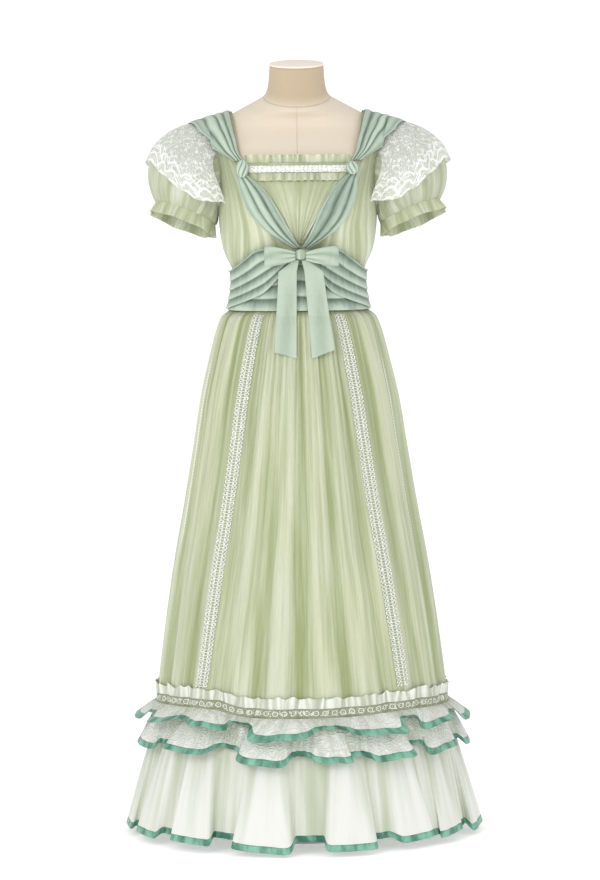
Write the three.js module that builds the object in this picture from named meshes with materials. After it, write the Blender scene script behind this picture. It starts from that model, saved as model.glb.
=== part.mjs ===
// Maxi dress of pale green crinkled cotton on a limbless dress form, in millimetres, +Z up.
// The origin is on the floor under the middle of the stand. The dress faces -Y, with +X at the viewer's right.
import * as THREE from "three";

// Driving sizes of the cloth and its seams
const GAUZE = 1.5; // wall of the crinkled cotton panels
const SATIN = 1.3; // wall of the sage sash cloth
const LACE = 1.1; // wall of lace and ribbon
const SEAM = 0.3; // gap between two pieces at a seam
const CLEAR = 2.6; // gap under a band whose columns differ from those of the panel below it

// Driving heights above the floor
const HEM = 12;
const SKIRT_LOW = 172;
const BAND_LOW = 237; // lower edge of the lace band over the tiers
const BAND_TALL = 16;
const WAIST = 967; // seam between skirt and bodice
const WAISTBAND_TOP = 1041;
const BOW_HEIGHT = 1071;
const V_POINT = 1084; // where the two front bands meet
const ARMPIT = 1140;
const FAN_HEIGHT = 1235; // rows above this turn over the shoulder
const FAN_MID_Y = 8;
const FAN_REACH = 150; // a ray over the shoulder starts this far out and is followed inwards
const FAN_STEP = 2;
const NECKLINE = 1236; // top edge of the centre panels
const NECK_HALF = 99; // half width of the square neckline

const DEG = Math.PI / 180;
const mix = (a, b, t) => a + (b - a) * t;
const clamp = (v, low, high) => Math.min(high, Math.max(low, v));
const ease = (t) => t * t * (3 - 2 * t);
const range = (count) => Array.from({ length: count }, (_, i) => i);
const spaced = (count, low, high) => range(count).map((i) => mix(low, high, i / (count - 1)));
const vec = (x, y, z) => new THREE.Vector3(x, y, z);

// A wave along a row of columns: 0 at every `step` columns and 1 half way between them.
function wave(j, step) {
  const rise = (k) => 1 - Math.cos((2 * Math.PI * k) / step);
  return rise(j) / rise(Math.floor(step / 2));
}

// Reads one column of a table whose rows rise in `key`, with a smooth curve through the rows.
function column(table, key, at, name) {
  const last = table.length - 1;
  if (at <= table[0][key]) return table[0][name];
  if (at >= table[last][key]) return table[last][name];
  const i = table.findIndex((row) => row[key] > at) - 1;
  const slope = (k) => {
    const a = table[Math.max(0, k - 1)];
    const b = table[Math.min(last, k + 1)];
    return (b[name] - a[name]) / (b[key] - a[key]);
  };
  const [p, q] = [table[i], table[i + 1]];
  const span = q[key] - p[key];
  const t = (at - p[key]) / span;
  const [t2, t3] = [t * t, t * t * t];
  return (
    (2 * t3 - 3 * t2 + 1) * p[name] +
    (t3 - 2 * t2 + t) * span * slope(i) +
    (3 * t2 - 2 * t3) * q[name] +
    (t3 - t2) * span * slope(i + 1)
  );
}

// The dress form's level sections, from the hip to the top of the neck, as half sizes. `tilt` is
// how far a section rises towards the back, and `square` bends an ellipse (2) towards a box.
const FORM = [
  { z: 800, wide: 150, front: 98, back: 106, mid: 0, tilt: 0, square: 2.2 },
  { z: 860, wide: 152, front: 100, back: 110, mid: 0, tilt: 0, square: 2.2 },
  { z: 920, wide: 139, front: 97, back: 102, mid: 0, tilt: 0, square: 2.2 },
  { z: 970, wide: 121, front: 91, back: 86, mid: 0, tilt: 0, square: 2.2 },
  { z: 1030, wide: 114, front: 86, back: 78, mid: 0, tilt: 0, square: 2.2 },
  { z: 1080, wide: 130, front: 98, back: 82, mid: 0, tilt: 0, square: 2.3 },
  { z: 1122, wide: 138, front: 117, back: 90, mid: 0, tilt: 0, square: 2.4 },
  { z: 1160, wide: 141, front: 126, back: 96, mid: 0, tilt: 0, square: 2.4 },
  { z: 1200, wide: 144, front: 116, back: 100, mid: 1, tilt: 0, square: 2.3 },
  { z: 1240, wide: 152, front: 98, back: 98, mid: 3, tilt: 0, square: 2.3 },
  { z: 1272, wide: 166, front: 82, back: 88, mid: 5, tilt: 0, square: 2.2 },
  { z: 1292, wide: 176, front: 66, back: 72, mid: 7, tilt: 0, square: 2.1 },
  { z: 1304, wide: 179, front: 58, back: 62, mid: 8, tilt: 0.02, square: 2 },
  { z: 1313, wide: 160, front: 57, back: 60, mid: 8, tilt: 0.06, square: 2 },
  { z: 1325, wide: 132, front: 58, back: 59, mid: 8, tilt: 0.12, square: 2 },
  { z: 1337, wide: 106, front: 60, back: 58, mid: 7, tilt: 0.22, square: 2 },
  { z: 1350, wide: 75, front: 62, back: 56, mid: 6, tilt: 0.32, square: 2 },
  { z: 1358, wide: 62, front: 60, back: 54, mid: 5, tilt: 0.35, square: 2 },
  { z: 1376, wide: 54, front: 54, back: 52, mid: 3, tilt: 0.3, square: 2 },
  { z: 1416, wide: 50, front: 50, back: 50, mid: 0, tilt: 0.16, square: 2 },
];

// How far the dress stands off the form.
const EASE = [
  { z: 960, off: 4 },
  { z: 1030, off: 3.5 },
  { z: 1090, off: 6 },
  { z: 1160, off: 4 },
  { z: 1240, off: 2.4 },
  { z: 1300, off: 2.6 },
];

// The skirt's level sections as half sizes, and how far its folds stand out of them.
const SKIRT = [
  { z: 172, wide: 264, front: 234, back: 238 },
  { z: 237, wide: 262, front: 232, back: 236 },
  { z: 276, wide: 259, front: 229, back: 233 },
  { z: 389, wide: 244, front: 214, back: 219 },
  { z: 501, wide: 227, front: 196, back: 202 },
  { z: 613, wide: 207, front: 178, back: 184 },
  { z: 725, wide: 189, front: 161, back: 167 },
  { z: 808, wide: 176, front: 149, back: 153 },
  { z: 864, wide: 164, front: 137, back: 139 },
  { z: 925, wide: 150, front: 121, back: 119 },
  { z: 947, wide: 143, front: 113, back: 109 },
  { z: 958, wide: 137, front: 107, back: 102 },
  { z: 967, wide: 127, front: 97, back: 91 },
];
const FOLD_DEEP = [
  { z: 172, deep: 9 },
  { z: 560, deep: 9 },
  { z: 860, deep: 6 },
  { z: 967, deep: 0 },
];

const power = (v, n) => Math.sign(v) * Math.abs(v) ** n;

function section(z, off = 0) {
  const read = (name) => column(FORM, "z", z, name);
  return {
    wide: read("wide") + off,
    front: read("front") + off,
    back: read("back") + off,
    mid: read("mid"),
    tilt: read("tilt"),
    square: read("square"),
  };
}

// A point of a level section. The turn is 0 at the front, 90 at +X and 180 at the back, in degrees.
function ringPoint(turn, z, off = 0) {
  const s = section(z, off);
  const cos = Math.cos(turn * DEG);
  const x = s.wide * power(Math.sin(turn * DEG), 2 / s.square);
  const y = (cos > 0 ? -s.front : s.back) * Math.abs(cos) ** (2 / s.square);
  return vec(x, y + s.mid, z + s.tilt * y);
}

const standOff = (z) => column(EASE, "z", z, "off");

// The turn at which a level section of the bodice reaches a given x.
function turnAt(x, z) {
  const s = section(z, standOff(z));
  return Math.asin(power(clamp(x / s.wide, -1, 1), s.square / 2)) / DEG;
}

// Less than 1 inside the bodice's surface, more outside it.
function bodyField(x, y, z) {
  let level = z;
  for (const _ of range(4)) {
    level = z - column(FORM, "z", level, "tilt") * (y - column(FORM, "z", level, "mid"));
  }
  const s = section(level, standOff(level));
  const deep = y < s.mid ? s.front : s.back;
  return Math.abs(x / s.wide) ** s.square + Math.abs((y - s.mid) / deep) ** s.square;
}

// A point of the bodice's surface in the plane of one x. The arc is 0 level with FAN_HEIGHT
// and 90 at the top of the shoulder, in degrees. `side` is -1 for the front and 1 for the back.
function fanPoint(x, arc, side) {
  const along = (reach) =>
    vec(x, FAN_MID_Y + side * Math.cos(arc * DEG) * reach, FAN_HEIGHT + Math.sin(arc * DEG) * reach);
  const inside = (reach) => bodyField(...along(reach).toArray()) < 1;
  let far = FAN_REACH;
  while (far > 0 && !inside(far)) far -= FAN_STEP;
  let near = far;
  far += FAN_STEP;
  for (const _ of range(14)) {
    const reach = (near + far) / 2;
    if (inside(reach)) near = reach;
    else far = reach;
  }
  return along(near);
}

// A place on the bodice's surface: level rows are {z}, and rows that turn over the shoulder {arc}.
function bodyPoint(x, row, side) {
  if (row.arc !== undefined) return fanPoint(x, row.arc, side);
  const turn = turnAt(x, row.z);
  return ringPoint(side < 0 ? turn : 180 - turn, row.z, standOff(row.z));
}

// Normals of a grid of points, turned away from the upright axis or from `core`.
// A round grid joins its last column to its first. Rows named in `level` get level normals.
function gridNormals(grid, round, { core = (p) => vec(0, 0, p.z), level = [] } = {}) {
  const last = grid.length - 1;
  const isLevel = (i) => level === "all" || level.includes(i) || level.includes(i - last - 1);
  let outward = 0;
  const normals = grid.map((line, i) =>
    line.map((p, j) => {
      const n = line.length;
      const left = round ? line[(j + n - 1) % n] : line[Math.max(0, j - 1)];
      const right = round ? line[(j + 1) % n] : line[Math.min(n - 1, j + 1)];
      const below = grid[Math.max(0, i - 1)][j];
      const above = grid[Math.min(grid.length - 1, i + 1)][j];
      const normal = right.clone().sub(left).cross(above.clone().sub(below));
      if (isLevel(i)) normal.setZ(0);
      normal.normalize();
      outward += normal.dot(p.clone().sub(core(p)));
      return normal;
    }),
  );
  if (outward < 0) {
    for (const normal of normals.flat()) normal.negate();
  }
  return normals;
}

// Each point moved along its normal; `by` is a distance, or a function of the point's row and column.
function moved(grid, round, by, how) {
  const normals = gridNormals(grid, round, how);
  const far = typeof by === "function" ? by : () => by;
  return grid.map((line, i) => line.map((p, j) => p.clone().addScaledVector(normals[i][j], far(i, j))));
}

// A closed geometry whose faces point out, whichever way its grid ran.
function closedGeometry(position, index) {
  const at = (k) => vec(position[3 * k], position[3 * k + 1], position[3 * k + 2]);
  let volume = 0;
  for (let k = 0; k < index.length; k += 3) {
    volume += at(index[k]).dot(at(index[k + 1]).cross(at(index[k + 2])));
  }
  const facing = volume > 0 ? index : index.map((_, k) => index[3 * Math.floor(k / 3) + [0, 2, 1][k % 3]]);
  const geometry = new THREE.BufferGeometry();
  geometry.setAttribute("position", new THREE.Float32BufferAttribute(position, 3));
  geometry.setIndex(facing);
  geometry.computeVertexNormals();
  return geometry;
}

// One closed wall between an outer and an inner grid of the same size.
function wallBetween(outer, inner, round) {
  const rows = outer.length;
  const cols = outer[0].length;
  const position = [...outer, ...inner].flat().flatMap((p) => [p.x, p.y, p.z]);
  const index = [];
  const out = (i, j) => i * cols + (j % cols);
  const inn = (i, j) => rows * cols + out(i, j);
  const quad = (a, b, c, d) => index.push(a, b, c, a, c, d);
  for (const j of range(round ? cols : cols - 1)) {
    for (const i of range(rows - 1)) {
      quad(out(i, j), out(i, j + 1), out(i + 1, j + 1), out(i + 1, j));
      quad(inn(i, j), inn(i + 1, j), inn(i + 1, j + 1), inn(i, j + 1));
    }
    quad(out(0, j), inn(0, j), inn(0, j + 1), out(0, j + 1));
    quad(out(rows - 1, j), out(rows - 1, j + 1), inn(rows - 1, j + 1), inn(rows - 1, j));
  }
  if (!round) {
    for (const i of range(rows - 1)) {
      quad(out(i, 0), out(i + 1, 0), inn(i + 1, 0), inn(i, 0));
      quad(out(i, cols - 1), inn(i, cols - 1), inn(i + 1, cols - 1), out(i + 1, cols - 1));
    }
  }
  return closedGeometry(position, index);
}

// A wall of cloth whose inner face is `grid`, lifted by `lift`.
function wallOn(grid, round, thick, lift = 0, how = {}) {
  return wallBetween(moved(grid, round, lift + thick, how), moved(grid, round, lift, how), round);
}
const ENDS = { level: [0, -1] };

// A solid lofted through closed rings, with a flat end at each side.
function loft(rings) {
  const cols = rings[0].length;
  const position = rings.flat().flatMap((p) => [p.x, p.y, p.z]);
  const index = [];
  for (const i of range(rings.length - 1)) {
    for (const j of range(cols)) {
      const [a, b] = [i * cols + j, i * cols + ((j + 1) % cols)];
      index.push(a, b, b + cols, a, b + cols, a + cols);
    }
  }
  const last = (rings.length - 1) * cols;
  for (const j of range(cols - 2)) {
    index.push(0, j + 2, j + 1, last, last + j + 1, last + j + 2);
  }
  return closedGeometry(position, index);
}

const dress = new THREE.Group();
const finish = (colour, roughness, metalness = 0) =>
  new THREE.MeshStandardMaterial({ color: colour, roughness, metalness });
const FINISHES = {
  gauze: finish(0xcfd6b4, 0.9),
  satin: finish(0xb2c8b2, 0.6),
  ribbon: finish(0x6fae8e, 0.35),
  lace: finish(0xf2f3ee, 0.85),
  linen: finish(0xe9ddc9, 0.9),
  steel: finish(0xb9bcbd, 0.35, 0.9),
};
function add(name, geometry, look) {
  const mesh = new THREE.Mesh(geometry, FINISHES[look]);
  mesh.name = name;
  dress.add(mesh);
}
const SIDES = [
  { name: "left", sign: -1 },
  { name: "right", sign: 1 },
];
const FACES = [
  { name: "front", side: -1 },
  { name: "back", side: 1 },
];

// Dress form: a linen-covered torso with a neck stub and cap, on a pole and a round foot
const FORM_COLUMNS = 24;
const FORM_LOW = 800;
const CAP_TALL = 4;
const POLE_RADIUS = 12;
const FOOT_RADIUS = 175;
const FOOT_TALL = 7;
const FOOT_EDGE = 3;
// The torso stays inside the cloth, most where the cloth turns over the shoulder's end.
const FORM_CLEAR = 0.5;
const SHOULDER_CLEAR = { from: 1250, to: 1348, most: 8 };
function shrunk(z) {
  const share = clamp((z - SHOULDER_CLEAR.from) / (SHOULDER_CLEAR.to - SHOULDER_CLEAR.from), 0, 1);
  return FORM_CLEAR + SHOULDER_CLEAR.most * Math.sin(Math.PI * share);
}
const formRing = (z, off) => range(FORM_COLUMNS).map((j) => ringPoint((j * 360) / FORM_COLUMNS, z, off));
add("form_torso", loft(FORM.map((row) => formRing(row.z, -shrunk(row.z)))), "linen");
const neckTop = FORM[FORM.length - 1].z;
const capRing = (up, off) => formRing(neckTop, off).map((p) => p.add(vec(0, 0, SEAM + up)));
add("form_neck_cap", loft([capRing(0, 0), capRing(CAP_TALL - 1, 0), capRing(CAP_TALL, -1.5)]), "linen");
// A solid of revolution about the upright axis through the origin.
function turned(profile, sides) {
  const points = profile.map(([radius, height]) => new THREE.Vector2(radius, height));
  return new THREE.LatheGeometry(points, sides).rotateX(Math.PI / 2);
}
const [poleLow, poleHigh] = [FOOT_TALL + SEAM, FORM_LOW - SEAM];
const poleProfile = [
  [0, poleLow],
  [POLE_RADIUS, poleLow],
  [POLE_RADIUS, poleHigh],
  [0, poleHigh],
];
add("form_pole", turned(poleProfile, 12), "steel");
const footProfile = [
  [0, 0],
  [FOOT_RADIUS, 0],
  [FOOT_RADIUS, FOOT_TALL - FOOT_EDGE],
  [FOOT_RADIUS - FOOT_EDGE, FOOT_TALL],
  [0, FOOT_TALL],
];
add("form_foot", turned(footProfile, 24), "steel");

// Bodice: a gathered centre panel and two side panels, in front and behind.
// The side panels run from the waist seam over the shoulder and end at the armhole.
const vSeam = (z) => SEAM / 2 + Math.max(0, (NECK_HALF * (z - V_POINT + 6)) / (NECKLINE - V_POINT));
// The armhole's edge, by the way up it: the height over the armpit, then the arc over the shoulder.
const ARMHOLE = [
  { way: 0, x: 144.6 },
  { way: 40, x: 139.5 },
  { way: 95, x: 141.5 },
  { way: 117, x: 145 },
  { way: 140, x: 151.5 },
  { way: 162, x: 161 },
  { way: 185, x: 172 },
];
const STRAP_IN = [
  { way: 95, x: 105 },
  { way: 185, x: 122 },
];
const wayUp = (row) => (row.arc === undefined ? row.z - ARMPIT : FAN_HEIGHT - ARMPIT + row.arc);
const armholeX = (row) => column(ARMHOLE, "way", wayUp(row), "x");
// The side panels' rows: level ones up to the armpit and past it, then arcs over the shoulder
const LEVEL_HEIGHTS = [WAIST + SEAM / 2, 1000, 1030, 1056, 1082, 1112, ARMPIT, 1172, 1204, FAN_HEIGHT];
const LEVELS = LEVEL_HEIGHTS.map((z) => ({ z }));
const ARCS = [22, 45, 67, 89.8].map((arc) => ({ arc }));
const PANEL_ROWS = [...LEVELS, ...ARCS];
const GATHER_DEEP = 2.4;

// One row of a side panel, from the centre line or the V seam to the side seam or the armhole.
function sideRow(row, side, sign, shares) {
  const fan = row.arc !== undefined;
  const inner = fan ? column(STRAP_IN, "way", wayUp(row), "x") : vSeam(row.z) + SEAM;
  if (fan || row.z > ARMPIT) {
    return shares.map((share) => bodyPoint(sign * mix(inner, armholeX(row), share), row, side));
  }
  const [from, edge] = [turnAt(inner, row.z), 90 - SEAM / 2];
  return shares.map((share) => {
    const turn = sign * mix(from, edge, share);
    return ringPoint(side < 0 ? turn : 180 - turn, row.z, standOff(row.z));
  });
}

// A gathered wall of cloth on a smooth grid: the gathers rise out of the waistband and fade upwards.
function gatheredWall(flat, rows, count, level) {
  const last = flat[0].length - 1;
  const gather = (i, j) => {
    const high = ((rows[i].z ?? FAN_HEIGHT) - WAISTBAND_TOP) / (FAN_HEIGHT - WAISTBAND_TOP);
    return GATHER_DEEP * Math.sin(Math.PI * Math.sqrt(clamp(high, 0, 1))) * wave(j, last / count);
  };
  const outer = moved(flat, false, (i, j) => gather(i, j) + GAUZE, { level });
  const inner = moved(flat, false, gather, { level });
  return { outer, inner, geometry: wallBetween(outer, inner, false) };
}

const GATHERS = { front: { side: 5, centre: 6 }, back: { side: 3, centre: 3 } };
const CENTRE_ROWS = [V_POINT + 4, 1112, ARMPIT, 1172, 1204, NECKLINE].map((z) => ({ z }));
const sidePanels = {};
for (const { name: face, side } of FACES) {
  const gathers = GATHERS[face];
  for (const { name, sign } of SIDES) {
    const shares = spaced(2 * gathers.side + 1, 0, 1);
    const flat = PANEL_ROWS.map((row) => sideRow(row, side, sign, shares));
    const panel = gatheredWall(flat, PANEL_ROWS, gathers.side, range(LEVELS.length));
    sidePanels[`${face}_${name}`] = panel;
    add(`bodice_${face}_${name}`, panel.geometry, "gauze");
  }
  const shares = spaced(2 * gathers.centre + 1, -1, 1);
  const flat = CENTRE_ROWS.map((row) =>
    shares.map((share) => bodyPoint((vSeam(row.z) - SEAM) * share, row, side)),
  );
  add(`bodice_${face}_centre`, gatheredWall(flat, CENTRE_ROWS, gathers.centre, "all").geometry, "gauze");
}

// Neckline: a standing frill all along, a lace band on the centre panel and a second frill under it
const STAND_TALL = 15;
const DROP_TALL = 15;
const NECK_BAND_TALL = 16;
const NECK_LIFT = GAUZE + GATHER_DEEP - 0.7;
// A strip across the centre panel between two heights, `out` in front of it, with `waves` that are
// as deep as `deep` says at its lower and its upper edge.
function acrossNeck({ side, low, high, half, waves, out, deep }) {
  const grid = [low, high].map((z, i) =>
    spaced(2 * waves + 1, -half, half).map((x, j) => {
      const p = bodyPoint(x, { z: Math.min(z, NECKLINE) }, side);
      return vec(p.x, p.y + side * (out + wave(j, 2) * deep[i]), z);
    }),
  );
  return wallOn(grid, false, LACE, 0, ENDS);
}
const neckBandLow = NECKLINE - 1 - NECK_BAND_TALL;
const standing = { low: NECKLINE + SEAM, high: NECKLINE + STAND_TALL, half: NECK_HALF - 3 };
const neckBand = { low: neckBandLow, high: NECKLINE - 1, half: NECK_HALF - 10 };
const drop = { low: neckBandLow - SEAM - DROP_TALL, high: neckBandLow - SEAM, half: NECK_HALF - 25 };
const NECK_PIECES = [
  { name: "frill_neck_front", strip: standing, side: -1, waves: 12, out: 0.2, deep: [1.2, 4.5], look: "gauze" },
  { name: "frill_neck_back", strip: standing, side: 1, waves: 6, out: 0.2, deep: [1.2, 4.5], look: "gauze" },
  { name: "lace_band_neck", strip: neckBand, side: -1, waves: 4, out: NECK_LIFT, deep: [0, 0], look: "lace" },
  { name: "frill_neck_lower", strip: drop, side: -1, waves: 9, out: NECK_LIFT, deep: [4, 1], look: "gauze" },
];
for (const { name, strip, look, ...form } of NECK_PIECES) {
  add(name, acrossNeck({ ...strip, ...form }), look);
}

// Waistband: a band with level pleats all round, and on its front two wraps that fan out of the bow
const BAND_PLEATS = 3;
const WRAP_PLEATS = 4;
const PLEAT_DEEP = 2.2;
const bandOff = (z) => standOff(z) + GAUZE + CLEAR;
// The edges of overlapping pleats: each stands out at its lower edge and goes under the next one.
const pleatRows = (count) => [
  ...range(count).flatMap((k) => [
    { share: k / count, out: 1 },
    { share: (k + 0.86) / count, out: 0 },
  ]),
  { share: 1, out: 0.5 },
];
const BAND_SIDES = 24;
const bandTurns = range(BAND_SIDES).map((j) => (j * 360) / BAND_SIDES);
const bandGrid = (thick) =>
  pleatRows(BAND_PLEATS).map(({ share, out }) => {
    const z = mix(WAIST + 1, WAISTBAND_TOP - 3, share);
    return bandTurns.map((turn) => ringPoint(turn, z, bandOff(z) + thick * (SATIN + PLEAT_DEEP * out)));
  });
add("waistband", wallBetween(bandGrid(1), bandGrid(0), true), "satin");

// A wrap's lower and upper edge by the distance from the centre line.
const WRAP = [
  { x: 9, low: 1058, high: 1080 },
  { x: 38, low: 1024, high: 1081 },
  { x: 60, low: 1001, high: 1078 },
  { x: 84, low: 988, high: 1062 },
  { x: 112, low: 975, high: 1044 },
  { x: 122, low: 969, high: 1039 },
];
const WRAP_LIFT = SATIN + PLEAT_DEEP + 0.6;
const WRAP_TURNS = { from: 6, to: 80 };
const WRAP_FLARE = 2.6; // how much further a wrap stands off above the waistband
for (const { name, sign } of SIDES) {
  const grid = (thick) =>
    pleatRows(WRAP_PLEATS).map(({ share, out }) =>
      spaced(10, WRAP_TURNS.from, WRAP_TURNS.to).map((turn) => {
        const x = WRAP.at(-1).x * power(Math.sin(turn * DEG), 2 / section(WAIST).square);
        const z = mix(column(WRAP, "x", x, "low"), column(WRAP, "x", x, "high"), share);
        const flare = WRAP_FLARE * ease(clamp((z - WAISTBAND_TOP) / (WRAP[1].high - WAISTBAND_TOP), 0, 1));
        const pleat = thick * (SATIN + PLEAT_DEEP * out);
        return ringPoint(sign * turn, z, bandOff(z) + WRAP_LIFT + flare + pleat);
      }),
    );
  add(`sash_wrap_${name}`, wallBetween(grid(1), grid(0), false), "satin");
}

// Sash: a drape over each shoulder, a knot at each neckline corner and bands to the waist
const SASH_LIFT = GAUZE + GATHER_DEEP + 1;
const DRAPE_LIFT = GAUZE + 1.6;
const KNOT_X = NECK_HALF + 1;
const KNOT_Z = 1231;
const V_X = 6; // the V's point is a little to the right of the centre line
const FOLDS = 2.5;

// A sash band laid on the body through `stops`: a row, an x and a lift for each edge, and the folds' depth.
function sashBand(stops, sign, spans) {
  const flat = stops.map((stop) =>
    spaced(spans + 1, 0, 1).map((share) => {
      const x = mix(stop.from, stop.to, share);
      // Past the armhole's edge the drape leaves the body and lies over the sleeve's head.
      return bodyPoint(sign * Math.min(x, armholeX(stop.row)), stop.row, stop.side).setX(sign * x);
    }),
  );
  const lift = (i, j) => mix(stops[i].lift, stops[i].liftOut ?? stops[i].lift, j / spans);
  const fold = (i, j) => stops[i].deep * Math.abs(Math.sin((Math.PI * FOLDS * j) / spans));
  const upright = { core: (p) => vec(0, FAN_MID_Y, Math.min(p.z, FAN_HEIGHT)) };
  const outer = moved(flat, false, (i, j) => lift(i, j) + SATIN + fold(i, j), upright);
  return wallBetween(outer, moved(flat, false, lift, upright), false);
}

// Half width of a V band from the point (0) to the knot (1).
const V_HALF = [
  { share: 0, front: 7, back: 12 },
  { share: 0.25, front: 22, back: 18 },
  { share: 0.5, front: 27, back: 18 },
  { share: 0.78, front: 21, back: 15 },
  { share: 1, front: 7, back: 12 },
];
const V_LEVELS = {
  front: [V_POINT + 1, 1108, 1136, 1164, 1192, 1217],
  back: [WAISTBAND_TOP + 5, 1082, 1118, 1155, 1192, 1231],
};
const V_FOLD_DEEP = 3.4;
function vBand(face, side, sign) {
  const levels = V_LEVELS[face];
  return levels.map((z) => {
    const share = (z - levels[0]) / (levels[levels.length - 1] - levels[0]);
    const half = column(V_HALF, "share", share, face);
    const middle = mix(half + 1 + (side < 0 ? sign * V_X : 0), KNOT_X, share);
    const least = side < 0 ? sign * V_X + SEAM : SEAM;
    return {
      row: { z },
      side,
      from: Math.max(middle - half, least),
      to: middle + half,
      lift: SASH_LIFT,
      deep: V_FOLD_DEEP,
    };
  });
}

// The drape's edges by the arc over the shoulder: widest at the top, where its end stands off the body.
const DRAPE = [
  { arc: 3, side: -1, from: 97, to: 114, liftOut: 5 },
  { arc: 16, side: -1, from: 106, to: 132, liftOut: 7 },
  { arc: 29, side: -1, from: 110, to: 144, liftOut: 12 },
  { arc: 45, side: -1, from: 115, to: 158, liftOut: 16 },
  { arc: 67, side: -1, from: 121, to: 180, liftOut: 18 },
  { arc: 90, side: -1, from: 124, to: 196, liftOut: 13 },
  { arc: 67, side: 1, from: 120, to: 178, liftOut: 18 },
  { arc: 45, side: 1, from: 114, to: 156, liftOut: 16 },
  { arc: 29, side: 1, from: 106, to: 140, liftOut: 12 },
  { arc: 16, side: 1, from: 99, to: 126, liftOut: 7 },
  { arc: 2, side: 1, from: 88, to: 112, liftOut: 5 },
];
const DRAPE_FOLD_DEEP = 3;
// A knot's half sizes, how far its middle is in front of the bodice and under the drape's end,
// and how much narrower it is at its top and bottom.
const KNOT = { wide: 11, deep: 6, tall: 9, out: SASH_LIFT + 14, under: 4, taper: 0.82 };
const KNOT_SIDES = 10;

for (const { name, sign } of SIDES) {
  for (const { name: face, side } of FACES) {
    add(`sash_${face}_${name}`, sashBand(vBand(face, side, sign), sign, 5), "satin");
  }
  const stops = DRAPE.map((stop) => {
    return { ...stop, row: { arc: stop.arc }, lift: DRAPE_LIFT, deep: DRAPE_FOLD_DEEP };
  });
  add(`sash_shoulder_${name}`, sashBand(stops, sign, 6), "satin");

  const middle = bodyPoint(sign * KNOT_X, { z: KNOT_Z - KNOT.under }, -1).add(vec(0, -KNOT.out, 0));
  const rings = spaced(5, -1, 1).map((up) =>
    range(KNOT_SIDES).map((j) => {
      const round = Math.sqrt(1 - (KNOT.taper * up) ** 2);
      const turn = (2 * Math.PI * j) / KNOT_SIDES;
      const [x, y] = [KNOT.wide * round * Math.cos(turn), KNOT.deep * round * Math.sin(turn)];
      return vec(x, y, KNOT.tall * up).add(middle);
    }),
  );
  add(`sash_knot_${name}`, loft(rings), "satin");
}

// Bow: a flat knot, two loops folded at their outer ends and two tails with slanted ends
const BOW = { x: 4, y: -128, half: 10, deep: 5, tall: 9, taper: 0.25 };
const BOW_SIDES = 8;
const bowRings = spaced(4, -1, 1).map((up) =>
  range(BOW_SIDES).map((j) => {
    const turn = (2 * Math.PI * (j + 0.5)) / BOW_SIDES;
    const x = BOW.x + BOW.half * (1 - BOW.taper * up * up) * Math.cos(turn);
    return vec(x, BOW.y + BOW.deep * Math.sin(turn), BOW_HEIGHT + up * BOW.tall);
  }),
);
add("bow_knot", loft(bowRings), "satin");

// A loop's route seen from above, out along the front and back along the rear, with its half height.
const LOOP = [
  { out: 9.8, fore: 2, half: 7 },
  { out: 26, fore: 8, half: 12 },
  { out: 44, fore: 10, half: 16 },
  { out: 60, fore: 7, half: 18 },
  { out: 66, fore: 1, half: 18 },
  { out: 60, fore: -4, half: 18 },
  { out: 42, fore: -5, half: 15 },
  { out: 24, fore: -4, half: 11 },
  { out: 9.8, fore: -1.5, half: 7 },
];
const LOOP_LONG = { left: 0.97, right: 1.03 };
const LOOP_MIDDLE = 36;
const LOOP_BELLY = 1.5;
const LOOP_SAG = 3;
for (const { name, sign } of SIDES) {
  const grid = spaced(4, -1, 1).map((up) =>
    LOOP.map(({ out, fore, half }) => {
      const x = BOW.x + sign * out * LOOP_LONG[name];
      return vec(x, BOW.y - fore - LOOP_BELLY * (1 - up * up), BOW_HEIGHT - LOOP_SAG + up * half);
    }),
  );
  const core = (p) => vec(BOW.x + sign * LOOP_MIDDLE, BOW.y, p.z);
  add(`bow_loop_${name}`, wallOn(grid, false, SATIN, 0, { core }), "satin");
}

// How far the front of the dress stands out at each height, for what hangs before it.
function frontOf(z) {
  if (z > WAIST) return section(z, bandOff(z)).front + WRAP_LIFT + SATIN + PLEAT_DEEP;
  return column(SKIRT, "z", z, "front") + column(FOLD_DEEP, "z", z, "deep") + GAUZE;
}
// The tails' edges: one row for each tail, x of both edges at the bow, where it opens and at its end.
const TAILS = [
  { name: "left", topFrom: -8, topTo: 1, from: -36, to: -3, endFrom: -45, endTo: -4.5, endZ: [894, 883] },
  { name: "right", topFrom: 6, topTo: 15, from: 11, to: 45, endFrom: 23, endTo: 65, endZ: [882, 898] },
];
const TAIL_TOP = 1060.5;
const TAIL_OPEN = 1040; // the height at which a tail reaches its full width
const TAIL_END = 888;
const TAIL_ROWS = [TAIL_TOP, TAIL_OPEN, 1000, 958, 940, 915, TAIL_END];
const TAIL_CLEAR = 1.35;
const BOW_REAR = -BOW.y - 4; // the tails' top ends hang from the knot's rear half
for (const tail of TAILS) {
  const grid = TAIL_ROWS.map((z, i) => {
    const down = clamp((TAIL_OPEN - z) / (TAIL_OPEN - TAIL_END), 0, 1);
    const left = i === 0 ? tail.topFrom : mix(tail.from, tail.endFrom, down);
    const right = i === 0 ? tail.topTo : mix(tail.to, tail.endTo, down);
    return spaced(3, 0, 1).map((share) => {
      const height = z === TAIL_END ? mix(tail.endZ[0], tail.endZ[1], share) : z;
      const fore = Math.max(frontOf(height) + TAIL_CLEAR, i < 2 ? BOW_REAR : 0);
      return vec(mix(left, right, share), -fore, height);
    });
  });
  add(`bow_tail_${tail.name}`, wallOn(grid, false, SATIN), "satin");
}

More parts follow.
